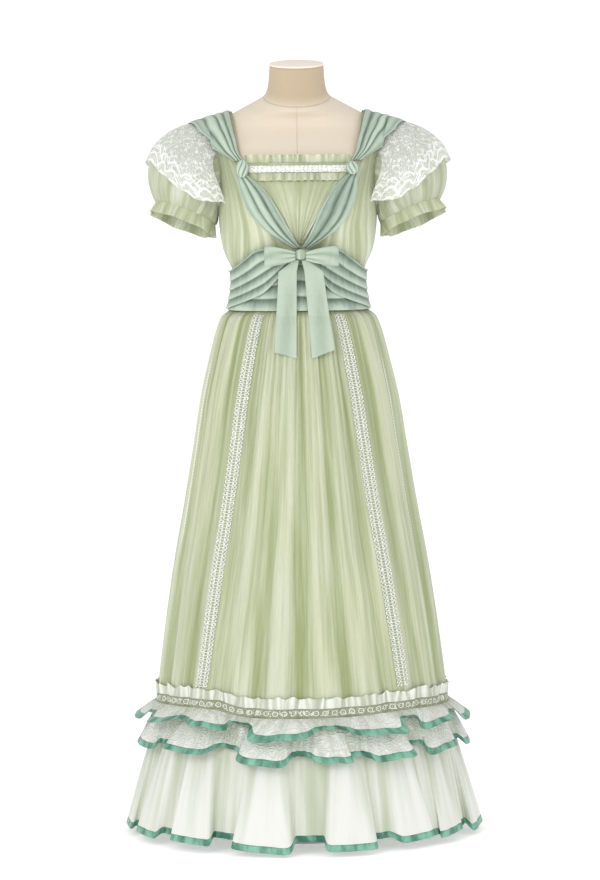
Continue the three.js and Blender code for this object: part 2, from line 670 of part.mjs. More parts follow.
// Sleeves: a short puff gathered into the armhole and the cuff, a cuff frill and a lace cap
const SLEEVE_SHARES = [0, 0.14, 0.36, 0.6, 0.84, 1];
const SLEEVE_DEEP = 3;
const CUFF = { x: 207, y: -4, z: 1147, wide: 58, deep: 52, slant: 21.5, drop: 0.2 };
const CUFF_FRILL = { long: 23, flare: 0, deep: 9, waves: 8, columns: 32 };
const COLUMNS_PER_GATHER = 4;
// The puff's curve by shares of its length: out of the armhole, round it, less at its top, round the
// cuff and along the cuff's axis. A stretch shorter than `whole` is less full.
const PUFF = { out: 0.36, rise: 0.12, less: 0.09, full: 0.38, along: 0.31, whole: 90 };
// The lace cap by its share of the way from the top of the sleeve (0) to its front and back ends (1):
// its place round the armhole and round its own edge as shares of half the sleeve, how far down the
// puff its edge comes, and how far that edge leans to the body.
const CAP = [
  { way: 0, seam: 0, edge: 0, down: 0.6, lean: 0 },
  { way: 0.5, seam: 0.18, edge: 0.34, down: 0.72, lean: 0 },
  { way: 0.8, seam: 0.29, edge: 0.54, down: 0.76, lean: 2 },
  { way: 1, seam: 0.36, edge: 0.64, down: 0.62, lean: 22 },
];
const CAP_FOLDS = { count: 6, spans: 24, deep: 8, flare: 6 };
const CAP_ROWS = [0, 0.16, 0.38, 0.66, 1];
const CAP_CLEAR = 1.5;
const CAP_START = 0.05; // the cap begins this share down the puff

// A place between two others on the armhole's edge.
function blended(place, next, share) {
  const blend = (name) => place[name].clone().lerp(next[name], share);
  return { inner: blend("inner"), outer: blend("outer"), past: blend("past").normalize() };
}
// Every place of a closed edge and the middle of each step.
function halved(edge) {
  return edge.flatMap((place, i) => [place, blended(place, edge[(i + 1) % edge.length], 0.5)]);
}

function bezier(a, b, c, d, t) {
  const s = 1 - t;
  return a
    .clone()
    .multiplyScalar(s * s * s)
    .addScaledVector(b, 3 * s * s * t)
    .addScaledVector(c, 3 * s * t * t)
    .addScaledVector(d, t * t * t);
}

for (const { name, sign } of SIDES) {
  // The armhole's edge from the top down the front, then up the back. Each place on it has the panel's
  // inner and outer point, and the way in which the panel's surface runs on past the edge.
  const armRow = PANEL_ROWS.findIndex((row) => row.z === ARMPIT);
  const edgeOf = (face) =>
    range(PANEL_ROWS.length - armRow).map((k) => {
      const { outer, inner } = sidePanels[`${face}_${name}`];
      const [end, before] = [inner[armRow + k].at(-1), inner[armRow + k].at(-2)];
      const past = k === 0 ? vec(0, 0, 1) : end.clone().sub(before).normalize();
      return { inner: end, outer: outer[armRow + k].at(-1), past };
    });
  const [frontEdge, backEdge] = [edgeOf("front").reverse(), edgeOf("back")];
  const top = blended(frontEdge[0], backEdge.at(-1), 0.5);
  const armhole = halved([top, ...frontEdge.slice(1), ...backEdge.slice(1, -1)]);
  const columns = armhole.length;
  const armMid = armhole.reduce((sum, { inner }) => sum.add(inner), vec(0, 0, 0)).divideScalar(columns);
  const out = vec(sign, 0, 0);

  // The cuff's plane: `across` runs up and out, `rear` back and down, and `fall` out of the opening.
  const across = vec(sign * Math.cos(CUFF.slant * DEG), 0, Math.sin(CUFF.slant * DEG));
  const rear = vec(0, 1, -CUFF.drop).normalize();
  const fall = vec(sign * Math.sin(CUFF.slant * DEG), 0, -Math.cos(CUFF.slant * DEG));
  const cuffMid = vec(sign * CUFF.x, CUFF.y, CUFF.z);
  const cuffWay = (turn) => {
    const way = across.clone().multiplyScalar(CUFF.wide * Math.cos(turn));
    return way.addScaledVector(rear, -CUFF.deep * Math.sin(turn));
  };
  const turnOf = (k) => (2 * Math.PI * k) / columns;

  // The puff's smooth surface, column by column from the armhole to the cuff.
  const puff = (k, t) => {
    const { inner, past } = armhole[k];
    const start = inner.clone().addScaledVector(past, SEAM);
    const way = cuffWay(turnOf(k));
    const end = cuffMid.clone().add(way);
    const reach = start.distanceTo(end);
    const away = start.clone().sub(armMid).setX(0).normalize();
    const share = clamp(reach / PUFF.whole, 0, 1);
    const rise = PUFF.rise - PUFF.less * Math.max(0, Math.cos(turnOf(k)));
    const first = start.clone().addScaledVector(out, PUFF.out * reach);
    first.addScaledVector(away, rise * share * reach).addScaledVector(past, Math.min(6, 0.3 * reach));
    const second = end.clone().addScaledVector(fall, -PUFF.along * reach);
    second.addScaledVector(way.normalize(), PUFF.full * share * reach);
    return bezier(start, first, second, end, t);
  };
  // The sleeve's middle line, level with a point.
  const core = (p) => {
    const down = (armMid.z - p.z) / (armMid.z - cuffMid.z);
    return armMid.clone().lerp(cuffMid, clamp(down, 0.3, 0.9));
  };
  const smooth = SLEEVE_SHARES.map((t) => range(columns).map((k) => puff(k, t)));
  // The gathers run from the armhole to the cuff, with a trough at the armpit.
  const gather = (i, k) => {
    const high = SLEEVE_DEEP * Math.sin(Math.PI * SLEEVE_SHARES[i]);
    return high * wave(k - columns / 2, COLUMNS_PER_GATHER);
  };
  const outer = moved(smooth, true, (i, k) => gather(i, k) + GAUZE, { core });
  const inner = moved(smooth, true, gather, { core });
  // Both ends butt against their neighbours, as wide as the cloth is thick.
  const widened = (p, k) => p.clone().addScaledVector(cuffWay(turnOf(k)).normalize(), GAUZE);
  outer[0] = armhole.map(({ outer: p, past }) => p.clone().addScaledVector(past, SEAM));
  outer[outer.length - 1] = inner.at(-1).map(widened);
  add(`sleeve_${name}`, wallBetween(outer, inner, true), "gauze");

  const between = (k, t) => {
    const whole = Math.floor(k);
    return puff((whole + columns) % columns, t).lerp(puff((whole + 1 + columns) % columns, t), k - whole);
  };
  const capFlat = CAP_ROWS.map((t) =>
    spaced(CAP_FOLDS.spans + 1, -1, 1).map((way) => {
      const read = (key) => column(CAP, "way", Math.abs(way), key);
      const round = (Math.sign(way) * mix(read("seam"), read("edge"), t) * columns) / 2;
      const p = between(round, mix(CAP_START, read("down"), t));
      return p.add(vec(-sign * read("lean") * t, -Math.sign(way) * 0.4 * read("lean") * t, 0));
    }),
  );
  const capLift = (i, j) => {
    const t = CAP_ROWS[i];
    const fold = CAP_FOLDS.deep * wave(j, CAP_FOLDS.spans / CAP_FOLDS.count);
    return GAUZE + CAP_CLEAR + SLEEVE_DEEP * Math.sqrt(t) + (CAP_FOLDS.flare + fold) * t * t;
  };
  const cap = (thick) => moved(capFlat, false, (i, j) => capLift(i, j) + thick, { core });
  add(`sleeve_lace_${name}`, wallBetween(cap(LACE), cap(0), false), "lace");

  const frill = (thick) =>
    [0, 1].map((t) =>
      range(CUFF_FRILL.columns).map((k) => {
        const way = cuffWay((2 * Math.PI * k) / CUFF_FRILL.columns);
        const fold = CUFF_FRILL.deep * wave(k, CUFF_FRILL.columns / CUFF_FRILL.waves);
        way.setLength(way.length() + t * (CUFF_FRILL.flare + fold) + thick);
        return way.add(cuffMid).addScaledVector(fall, SEAM + t * CUFF_FRILL.long);
      }),
    );
  add(`sleeve_frill_${name}`, wallBetween(frill(LACE), frill(0), true), "gauze");
}

// Skirt: two gathered halves from the waist to the tiers, with a lace strip down each side of the front
const SKIRT_COLUMNS = 60;
const STRIP_COLUMN = 7; // each strip covers the step after this column, on the crest of a fold
const STRIP_TURNS = { top: [27, 36.5], bottom: [42, 48] };
const COLUMNS_PER_FOLD = 3;
const QUARTER = SKIRT_COLUMNS / 4;
const SKIRT_ROWS = [SKIRT_LOW, 280, 420, 560, 700, 808, 880, 930, 955, WAIST - SEAM / 2];

// The turn of a column: even at the hem, closer between the strips at the waist.
function skirtTurn(j, z) {
  const quarter = Math.floor(j / QUARTER);
  const within = j - quarter * QUARTER;
  const fromFront = quarter % 2 === 0 ? within : QUARTER - within;
  const bend = ([low, high]) => {
    if (fromFront <= STRIP_COLUMN) return (low * fromFront) / STRIP_COLUMN;
    return mix(high, 90, (fromFront - STRIP_COLUMN - 1) / (QUARTER - STRIP_COLUMN - 1));
  };
  const turn = mix(bend(STRIP_TURNS.bottom), bend(STRIP_TURNS.top), (z - SKIRT_LOW) / (WAIST - SKIRT_LOW));
  return [turn, 180 - turn, 180 + turn, 360 - turn][quarter];
}

// A point of an ellipse of the skirt's size at one height, pushed out by `off`.
function skirtPoint(turn, z, off = 0) {
  const [cos, sin] = [Math.cos(turn * DEG), Math.sin(turn * DEG)];
  const deep = column(SKIRT, "z", z, cos > 0 ? "front" : "back");
  return vec((column(SKIRT, "z", z, "wide") + off) * sin, -(deep + off) * cos, z);
}

const skirtGrid = SKIRT_ROWS.map((z) =>
  range(SKIRT_COLUMNS).map((j) => {
    return skirtPoint(skirtTurn(j, z), z, column(FOLD_DEEP, "z", z, "deep") * wave(j, COLUMNS_PER_FOLD));
  }),
);
const skirtOuter = moved(skirtGrid, true, GAUZE, { level: "all" });

// A run of the skirt's columns.
const runOf = (grid, first, count) =>
  grid.map((line) => range(count).map((j) => line[(first + j) % SKIRT_COLUMNS].clone()));
for (const { name, side } of FACES) {
  const first = side < 0 ? 3 * QUARTER : QUARTER;
  const [outer, inner] = [skirtOuter, skirtGrid].map((grid) => {
    const run = runOf(grid, first, 2 * QUARTER + 1);
    // The cut edges stop half a seam short of the side seam.
    for (const line of run) {
      for (const end of [line[0], line[line.length - 1]]) end.y += (side * SEAM) / 2;
    }
    return run;
  });
  add(`skirt_${name}`, wallBetween(outer, inner, false), "gauze");
}

// Where a column of the skirt's outer face reaches a height.
function skirtFace(j, z) {
  const i = clamp(SKIRT_ROWS.findIndex((row) => row > z) - 1, 0, SKIRT_ROWS.length - 2);
  const share = (z - SKIRT_ROWS[i]) / (SKIRT_ROWS[i + 1] - SKIRT_ROWS[i]);
  return skirtOuter[i][j].clone().lerp(skirtOuter[i + 1][j], share);
}

// The strips run from the heading frill up to the waistband.
const STRIP_ROWS = [277, ...SKIRT_ROWS.slice(1, -1), 960];
for (const { name, sign } of SIDES) {
  const first = sign > 0 ? STRIP_COLUMN : SKIRT_COLUMNS - STRIP_COLUMN - 1;
  const strip = STRIP_ROWS.map((z) => [first, first + 1].map((j) => skirtFace(j, z)));
  add(`lace_strip_${name}`, wallOn(strip, false, LACE, SEAM), "lace");
}

// Tiers: a lace band with a standing frill over it, two lace ruffles and a flounce, each edged with ribbon
const RIBBON_TALL = 12;
const HEADING = { tall: 20, deep: 4.5, columns: 4 };
const BAND_LIFT = 0.6;
const bandRing = (z) => range(SKIRT_COLUMNS).map((j) => skirtFace(j, z));
const band = [BAND_LOW, BAND_LOW + BAND_TALL].map(bandRing);
add("lace_band_hem", wallOn(band, true, LACE, BAND_LIFT, ENDS), "lace");
const headingLow = BAND_LOW + BAND_TALL + SEAM;
const headingWave = (i, j) => BAND_LIFT + wave(j, HEADING.columns) * mix(1, HEADING.deep, i);
const heading = moved([headingLow, headingLow + HEADING.tall].map(bandRing), true, headingWave, ENDS);
add("frill_heading", wallOn(heading, true, LACE, 0, ENDS), "lace");

// Each tier: the heights of its seam and edge, how far it starts and flares off the skirt's ellipse,
// the depth of its waves, and how much they swell sideways into folds.
const TIER_LIST = [
  { name: "ruffle_upper", top: 236.5, edge: 212, start: 12, flare: 18, deep: 24, swell: 0.55, waves: 14 },
  { name: "ruffle_lower", top: 204, edge: 162, start: 10.8, flare: 16, deep: 26, swell: 0.5, waves: 14 },
  { name: "flounce", top: SKIRT_LOW - SEAM, edge: HEM, start: 0, flare: 38, deep: 34, swell: 0.4, waves: 16 },
];
const COLUMNS_PER_WAVE = 5;
const FLARE_CURVE = 0.8; // a tier flares a little faster near its seam
const CREST_RISE = 5; // the edge is higher at a wave's crest
for (const tier of TIER_LIST) {
  const cols = tier.waves * COLUMNS_PER_WAVE;
  const reach = Math.hypot(tier.top - tier.edge, tier.flare + tier.deep / 2);
  const ribbonFrom = 1 - RIBBON_TALL / reach;
  const line = (t) =>
    range(cols).map((j) => {
      const phase = (2 * Math.PI * j) / COLUMNS_PER_WAVE + (tier.name === "ruffle_lower" ? Math.PI : 0);
      const crest = (1 - Math.cos(phase)) / 2;
      const turn = (360 * j) / cols - (tier.swell * t * Math.sin(phase) * 360) / (2 * Math.PI * tier.waves);
      const off = tier.start + tier.flare * t ** FLARE_CURVE + tier.deep * crest * t;
      const height = mix(tier.top, tier.edge + CREST_RISE * crest * t, t);
      return skirtPoint(turn, Math.max(tier.top, SKIRT_LOW), off).setZ(height);
    });
  const clothTo = ribbonFrom - SEAM / reach;
  const [rows, look] = tier.name === "flounce" ? [[0, clothTo / 2, clothTo], "gauze"] : [[0, clothTo], "lace"];
  add(tier.name, wallOn(rows.map(line), true, GAUZE, 0, ENDS), look);
  add(`ribbon_${tier.name}`, wallOn([ribbonFrom, 1].map(line), true, LACE, 0, ENDS), "ribbon");
}

export default dress;
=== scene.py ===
import math

import bpy
import numpy as np
from mathutils import Matrix


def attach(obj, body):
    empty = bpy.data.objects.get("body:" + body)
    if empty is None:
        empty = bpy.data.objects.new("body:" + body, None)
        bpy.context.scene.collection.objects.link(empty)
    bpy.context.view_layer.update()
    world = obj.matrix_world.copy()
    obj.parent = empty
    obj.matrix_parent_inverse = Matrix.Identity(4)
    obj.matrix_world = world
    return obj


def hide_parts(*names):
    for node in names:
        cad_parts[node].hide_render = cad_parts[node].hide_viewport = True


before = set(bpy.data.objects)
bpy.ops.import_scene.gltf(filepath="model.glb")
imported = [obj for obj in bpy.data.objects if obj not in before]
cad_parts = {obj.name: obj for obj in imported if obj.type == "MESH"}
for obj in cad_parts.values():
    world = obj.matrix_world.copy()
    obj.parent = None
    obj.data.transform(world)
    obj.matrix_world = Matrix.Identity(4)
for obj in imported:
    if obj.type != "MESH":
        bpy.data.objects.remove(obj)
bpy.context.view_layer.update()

# The dress form: a limbless torso padded and covered in cream linen, with a flat-topped neck
# stub and a cap over it. The linen is cut in two halves that meet at a centre seam in front,
# and the neck is sewn on at its base. It stands on a steel pole with a round steel foot.

MM = 0.001


def colour(red, green, blue):
    """A linear colour from its sRGB values."""
    share = np.array([red, green, blue]) / 255
    linear = np.where(share > 0.04045, ((share + 0.055) / 1.055) ** 2.4, share / 12.92)
    return (*(float(v) for v in linear), 1.0)


def smooth(value, low, high):
    """0 at low, 1 at high and soft between."""
    share = np.clip((np.asarray(value, float) - low) / (high - low), 0, 1)
    return share * share * (3 - 2 * share)


def mix(first, second, share):
    return first + (second - first) * share


def signed_power(value, power):
    return np.sign(value) * np.abs(value) ** power


class Table:
    """Rows of sizes in millimetres that rise in their first column, read along a smooth curve."""

    def __init__(self, names, rows):
        self.names = names.split()
        self.rows = np.array(rows, float)

    def read(self, name, at):
        key, value = self.rows[:, 0], self.rows[:, self.names.index(name)]
        slope = np.gradient(value, key, edge_order=1)
        slope[1:-1] = (value[2:] - value[:-2]) / (key[2:] - key[:-2])
        at = np.clip(np.asarray(at, float), key[0], key[-1])
        i = np.clip(np.searchsorted(key, at, side="right") - 1, 0, len(key) - 2)
        span = key[i + 1] - key[i]
        t = (at - key[i]) / span
        return (
            (2 * t**3 - 3 * t**2 + 1) * value[i]
            + (t**3 - 2 * t**2 + t) * span * slope[i]
            + (3 * t**2 - 2 * t**3) * value[i + 1]
            + (t**3 - t**2) * span * slope[i + 1]
        )


# The form's level sections as half sizes. Tilt is how far a section rises towards the back, and
# square bends an ellipse (2) towards a box.
FORM = Table(
    "z wide front back mid tilt square",
    [
        (800, 150, 98, 106, 0, 0, 2.2),
        (860, 152, 100, 110, 0, 0, 2.2),
        (920, 139, 97, 102, 0, 0, 2.2),
        (970, 121, 91, 86, 0, 0, 2.2),
        (1030, 114, 86, 78, 0, 0, 2.2),
        (1080, 130, 98, 82, 0, 0, 2.3),
        (1122, 138, 117, 90, 0, 0, 2.4),
        (1160, 141, 126, 96, 0, 0, 2.4),
        (1200, 144, 116, 100, 1, 0, 2.3),
        (1240, 152, 98, 98, 3, 0, 2.3),
        (1272, 166, 82, 88, 5, 0, 2.2),
        (1292, 176, 66, 72, 7, 0, 2.1),
        (1304, 179, 58, 62, 8, 0.02, 2),
        (1313, 160, 57, 60, 8, 0.06, 2),
        (1325, 132, 58, 59, 8, 0.12, 2),
        (1337, 106, 60, 58, 7, 0.22, 2),
        (1350, 75, 62, 56, 6, 0.32, 2),
        (1358, 62, 60, 54, 5, 0.35, 2),
        (1376, 54, 54, 52, 3, 0.3, 2),
        (1416, 50, 50, 50, 0, 0.16, 2),
    ],
)
NECK_TOP = 1416
NECK_SEAM = 1359


def section_point(turn, z, off=0.0):
    """A point of a level section of the form: turn 0 is the front, 90 is +X and 180 the back."""
    cos, sin = np.cos(np.radians(turn)), np.sin(np.radians(turn))
    square = FORM.read("square", z)
    x = (FORM.read("wide", z) + off) * signed_power(sin, 2 / square)
    deep = np.where(cos > 0, -FORM.read("front", z) - off, FORM.read("back", z) + off)
    y = deep * np.abs(cos) ** (2 / square)
    return np.stack(np.broadcast_arrays(x, y + FORM.read("mid", z), z + FORM.read("tilt", z) * y), -1)


class Socket:
    """A value in a node material. Sums with it, or its methods, add the nodes that they need."""

    def __init__(self, tree, socket=None):
        self.tree = tree
        self.socket = socket

    def node(self, kind, settings, values, out=0):
        made = self.tree.nodes.new(kind)
        for name, value in settings.items():
            setattr(made, name, value)
        for name, value in values.items():
            if isinstance(value, Socket):
                self.tree.links.new(value.socket, made.inputs[name])
            else:
                made.inputs[name].default_value = value
        return Socket(self.tree, made.outputs[out])

    def sum(self, operation, *values):
        return self.node("ShaderNodeMath", {"operation": operation}, dict(enumerate(values)))

    def __add__(self, other):
        return self.sum("ADD", self, other)

    def __sub__(self, other):
        return self.sum("SUBTRACT", self, other)

    def __rsub__(self, other):
        return self.sum("SUBTRACT", other, self)

    def __mul__(self, other):
        return self.sum("MULTIPLY", self, other)

    def __truediv__(self, other):
        return self.sum("DIVIDE", self, other)

    def __rtruediv__(self, other):
        return self.sum("DIVIDE", other, self)

    def __pow__(self, other):
        return self.sum("POWER", self, other)

    def __abs__(self):
        return self.sum("ABSOLUTE", self)

    __radd__ = __add__
    __rmul__ = __mul__

    def least(self, other):
        return self.sum("MINIMUM", self, other)

    def most(self, other):
        return self.sum("MAXIMUM", self, other)

    def sin(self):
        return self.sum("SINE", self)

    def rest(self, step):
        """What is left over a whole number of steps."""
        return self.sum("FLOORED_MODULO", self, step)

    def ramp(self, low, high, first=0.0, last=1.0):
        """Goes softly from first to last as this goes from low to high."""
        values = {"Value": self, "From Min": low, "From Max": high, "To Min": first, "To Max": last}
        return self.node("ShaderNodeMapRange", {"interpolation_type": "SMOOTHSTEP"}, values)

    def blend(self, first, second):
        """The first colour at 0 and the second one at 1."""
        return self.node("ShaderNodeMix", {"data_type": "RGBA"}, {0: self, 6: first, 7: second}, 2)

    def point(self, x, y, z=0.0):
        return self.node("ShaderNodeCombineXYZ", {}, {0: x, 1: y, 2: z})

    def parts(self):
        split = self.node("ShaderNodeSeparateXYZ", {}, {0: self})
        return [Socket(self.tree, out) for out in split.socket.node.outputs]

    def noise(self, detail=2.0, rough=0.5, twist=0.0):
        values = {"Vector": self, "Scale": 1.0, "Detail": detail, "Roughness": rough, "Distortion": twist}
        return self.node("ShaderNodeTexNoise", {}, values)

    def cells(self, feature="F1"):
        """How far this place is from the heart of a flat pattern's cell, or from its edge."""
        settings = {"voronoi_dimensions": "2D", "feature": feature}
        return self.node("ShaderNodeTexVoronoi", settings, {"Vector": self, "Scale": 1.0})

    def bump(self, distance):
        """Normals from this height, in metres at distance 1."""
        return self.node("ShaderNodeBump", {}, {"Height": self, "Distance": distance, "Strength": 1.0})


def look(name, paint):
    """A material whose paint gives the values of its shader from a place on the cloth: how far
    across and along it is in millimetres, and how high on its fold (0 to 1). Several paints turn
    that height into painted shade low in the folds and painted light on the crests."""
    made = bpy.data.materials.new(name)
    made.use_nodes = True
    tree = made.node_tree
    shader = tree.nodes["Principled BSDF"]
    start = Socket(tree)
    place = start.node("ShaderNodeAttribute", {"attribute_name": "cloth"}, {}, "Vector")
    for key, value in paint(start, *place.parts()).items():
        if isinstance(value, Socket):
            tree.links.new(value.socket, shader.inputs[key])
        else:
            shader.inputs[key].default_value = value
    return made


def normals(grid, closed, core=None, upright=None):
    """The grid's normals, turned away from the upright axis or from core. Upright gives each
    row's share of the normal's rise."""
    if closed:
        left, right = np.roll(grid, 1, 1), np.roll(grid, -1, 1)
    else:
        left = np.concatenate([grid[:, :1], grid[:, :-1]], 1)
        right = np.concatenate([grid[:, 1:], grid[:, -1:]], 1)
    below, above = np.concatenate([grid[:1], grid[:-1]]), np.concatenate([grid[1:], grid[-1:]])
    normal = np.cross(right - left, above - below)
    if upright is not None:
        normal[..., 2] *= np.reshape(upright, (-1, 1))
    normal /= np.maximum(np.linalg.norm(normal, axis=-1, keepdims=True), 1e-9)
    middle = grid * (0, 0, 1) if core is None else core
    return normal if (normal * (grid - middle)).sum() > 0 else -normal


def moved(grid, by, closed=False, core=None, upright=None):
    far = np.broadcast_to(by, grid.shape[:2])[..., None]
    return grid + normals(grid, closed, core, upright) * far


def lengths(grid, closed, axis):
    """How far along each line of a grid its points are."""
    if axis == 1 and closed:
        grid = np.concatenate([grid, grid[:, :1]], 1)
    steps = np.linalg.norm(np.diff(grid, axis=axis), axis=-1)
    start = np.zeros((steps.shape[0], 1) if axis == 1 else (1, steps.shape[1]))
    return np.concatenate([start, np.cumsum(steps, axis=axis)], axis)


def surface(name, grid, material, closed=False, inner=None, crest=0.5):
    """A mesh over a grid of points in millimetres, or a closed wall between it and an inner grid."""
    rows, cols = grid.shape[:2]
    i, j = (a.ravel() for a in np.mgrid[0 : rows - 1, 0 : cols if closed else cols - 1])
    row, col = np.stack([i, i, i + 1, i + 1], 1), np.stack([j, j + 1, j + 1, j], 1)
    across = lengths(grid, closed, 1)[rows // 2]
    along = lengths(grid, closed, 0)[:, cols // 2]
    high = np.broadcast_to(crest, grid.shape[:2])

    def corners(r, c):
        return np.stack([across[c], along[r], high[r, c % cols]], -1)

    faces, place = row * cols + col % cols, corners(row, col)
    points = grid.reshape(-1, 3)
    if inner is not None:
        points = np.concatenate([points, inner.reshape(-1, 3)])
        under = rows * cols
        rims = []
        for r, turn in ((0, 1), (rows - 1, -1)):
            c = np.arange(cols if closed else cols - 1)
            line = np.stack([c, c, c + 1, c + 1], 1)
            at = r * cols + line % cols + np.array([0, under, under, 0])
            rims.append((at[:, ::turn], corners(np.full_like(at, r), line[:, ::turn])))
        if not closed:
            for c, turn in ((0, -1), (cols - 1, 1)):
                r = np.arange(rows - 1)
                line = np.stack([r, r, r + 1, r + 1], 1)
                at = line * cols + c + np.array([0, under, under, 0])
                rims.append((at[:, ::turn], corners(line, np.full_like(line, c))[:, ::turn]))
        faces = np.concatenate([faces, faces[:, ::-1] + under, *(at for at, _ in rims)])
        place = np.concatenate([place, place[:, ::-1], *(given for _, given in rims)])
    a, b, c = (points[faces[:, k]] for k in (0, 1, 2))
    out = np.cross(b - a, c - a)
    centre = a * (0, 0, 1) if inner is None else points.mean(0)
    if (out * (a - centre)).sum() < 0:
        faces, place = faces[:, ::-1], place[:, ::-1]
    mesh = bpy.data.meshes.new(name)
    mesh.from_pydata((points * MM).tolist(), [], faces.tolist())
    mesh.attributes.new("cloth", "FLOAT_VECTOR", "CORNER").data.foreach_set("vector", place.ravel())
    mesh.polygons.foreach_set("use_smooth", [True] * len(mesh.polygons))
    mesh.materials.append(material)
    piece = bpy.data.objects.new(name, mesh)
    bpy.context.scene.collection.objects.link(piece)
    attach(piece, "root")
    return piece


def linen_paint(start, across, along, high):
    grain = start.point(across * 0.5, along * 0.5).noise(3.0, 0.6)
    warp = (across * 4.2).sin() * 0.5 + (along * 4.2).sin() * 0.5
    neck_seam = abs(along - NECK_SEAM_ALONG)
    front_seam = across.least(TORSO_ROUND - across) + along.ramp(NECK_SEAM_ALONG, NECK_SEAM_ALONG + 1) * 9
    seam = 1 - neck_seam.least(front_seam).ramp(0.3, 1.3)
    # Painted shade: the neck stub above its seam is painted in a darker linen than the padded torso.
    neck_shade = along.ramp(NECK_SEAM_ALONG - 8, NECK_SEAM_ALONG + 14)
    tone = (grain * 0.7 + warp * 0.08 + 0.3 - seam * 0.6).ramp(0.0, 1.0)
    padded_tone = tone.blend(colour(212, 196, 172), colour(238, 226, 208))
    shaded_neck_tone = tone.blend(colour(184, 164, 134), colour(208, 189, 160))
    return {
        "Base Color": neck_shade.blend(padded_tone, shaded_neck_tone),
        "Roughness": 0.9,
        "Sheen Weight": 0.2,
        "Normal": (grain * 0.3 + warp * 0.15 - seam * 0.8).bump(0.0006),
    }


FORM_ROWS = np.concatenate([np.linspace(800, 1230, 30), np.linspace(1240, NECK_TOP, 60)])
form_turns = np.arange(96) * 360 / 96
# The cover is drawn in from the chest to the neck, clear of the cloth that lies on it there.
clear = 0.5 + 8 * np.sin(np.pi * np.clip((FORM_ROWS - 1250) / 98, 0, 1))
torso_grid = section_point(form_turns[None], FORM_ROWS[:, None], -clear[:, None])
lid, roof = (mix(ring.mean(1, keepdims=True), ring, 0.02) for ring in (torso_grid[:1], torso_grid[-1:]))
torso_grid = np.concatenate([lid, torso_grid, roof])
torso_along = lengths(torso_grid, True, 0)[1:-1, torso_grid.shape[1] // 2]
NECK_SEAM_ALONG = float(np.interp(NECK_SEAM, FORM_ROWS, torso_along))
TORSO_ROUND = float(lengths(torso_grid, True, 1)[torso_grid.shape[0] // 2][-1])
linen = look("linen_cover", linen_paint)
torso = surface("torso", torso_grid, linen, closed=True)
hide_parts("form_torso")



def cap_paint(start, across, along, high):
    grain = start.point(across * 0.5, along * 0.5).noise(3.0)
    return {"Base Color": grain.blend(colour(244, 230, 210), colour(255, 249, 238)), "Roughness": 0.9}


# The cap's profile, from under its middle round its edge to the middle of its top: how far each
# ring stands over the neck, and its share of the neck's width.
CAP_PROFILE = [(0.3, 0.01), (0.3, 0.985), (0.8, 1.0), (3.4, 1.0), (4.0, 0.985), (4.3, 0.96), (4.3, 0.02)]
neck_ring = section_point(form_turns, NECK_TOP)
neck_mid = neck_ring.mean(0)
cap_grid = np.stack([neck_mid + (neck_ring - neck_mid) * share + (0, 0, up) for up, share in CAP_PROFILE])
cap = surface("neck_cap", cap_grid, look("cap_linen", cap_paint), closed=True)
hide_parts("form_neck_cap")


def steel_paint(start, across, along, high):
    place = start.node("ShaderNodeTexCoord", {}, {}, "Object")
    x, y, z = place.parts()
    lines = start.point(x * 900, y * 900, z * 30).noise(2.0)
    return {
        "Base Color": lines.blend(colour(150, 152, 154), colour(196, 198, 200)),
        "Metallic": 1.0,
        "Roughness": lines.ramp(0.2, 0.8, 0.28, 0.42),
    }


steel = look("brushed_steel_stand", steel_paint)
for node in ("form_pole", "form_foot"):
    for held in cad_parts[node].material_slots:
        held.material = steel

# The bodice: side panels of pale green crinkled cotton that are gathered into the waist and run
# over the shoulder to the armhole, and pointed centre panels gathered into the square neckline,
# in front and behind. The panels are stitched edge to edge on the V-shaped seams under the sash.

GAUZE = 1.5
SEAM = 0.3
WAIST, WAISTBAND_TOP, V_POINT, ARMPIT = 967, 1041, 1084, 1140
V_PARTS = 6  # how far under the V's point its two seams part
FAN_HEIGHT, FAN_MID_Y = 1235, 8
NECKLINE, NECK_HALF = 1236, 99
FRONT, BACK = -1, 1
SIDES = {"left": -1, "right": 1}
FACES = {"front": FRONT, "back": BACK}
EASE = Table("z off", [(960, 4), (1030, 3.5), (1090, 6), (1160, 4), (1240, 2.4), (1300, 2.6)])
# A place up a panel is its way: the height over the armpit, then the arc over the shoulder.
TURN_OVER = FAN_HEIGHT - ARMPIT
ARMHOLE = Table(
    "way x", [(0, 144.6), (40, 139.5), (95, 141.5), (117, 145), (140, 151.5), (162, 161), (185, 172)]
)
STRAP_IN = Table("way x", [(95, 105), (185, 122)])


def stand_off(z):
    return EASE.read("off", z)


def turn_at(x, z):
    """The turn at which a level section of the bodice reaches x."""
    wide = FORM.read("wide", z) + stand_off(z)
    return np.degrees(np.arcsin(signed_power(np.clip(x / wide, -1, 1), FORM.read("square", z) / 2)))


def inside_bodice(x, y, z):
    level = z
    for _ in range(4):
        level = z - FORM.read("tilt", level) * (y - FORM.read("mid", level))
    off = stand_off(level)
    depth = y - FORM.read("mid", level)
    deep = np.where(depth < 0, FORM.read("front", level), FORM.read("back", level)) + off
    square = FORM.read("square", level)
    return np.abs(x / (FORM.read("wide", level) + off)) ** square + np.abs(depth / deep) ** square < 1


def over_shoulder(x, over):
    """Points of the bodice in the plane of each x, by the angle over the shoulder: 0 is level
    with FAN_HEIGHT in front, 90 on top and 180 level behind."""
    x = np.asarray(x, float)
    cos, sin = math.cos(math.radians(over)), math.sin(math.radians(over))

    def at(reach):
        return x + 0 * reach, FAN_MID_Y - cos * reach, FAN_HEIGHT + sin * reach

    reaches = np.arange(150, -1, -2.0)[:, None]
    met = inside_bodice(*at(reaches + 0 * x))
    near = reaches[np.argmax(met, 0), 0]
    far = near + 2.0
    for _ in range(14):
        middle = (near + far) / 2
        held = inside_bodice(*at(middle))
        near, far = np.where(held, middle, near), np.where(held, far, middle)
    return np.stack(at(near), -1)


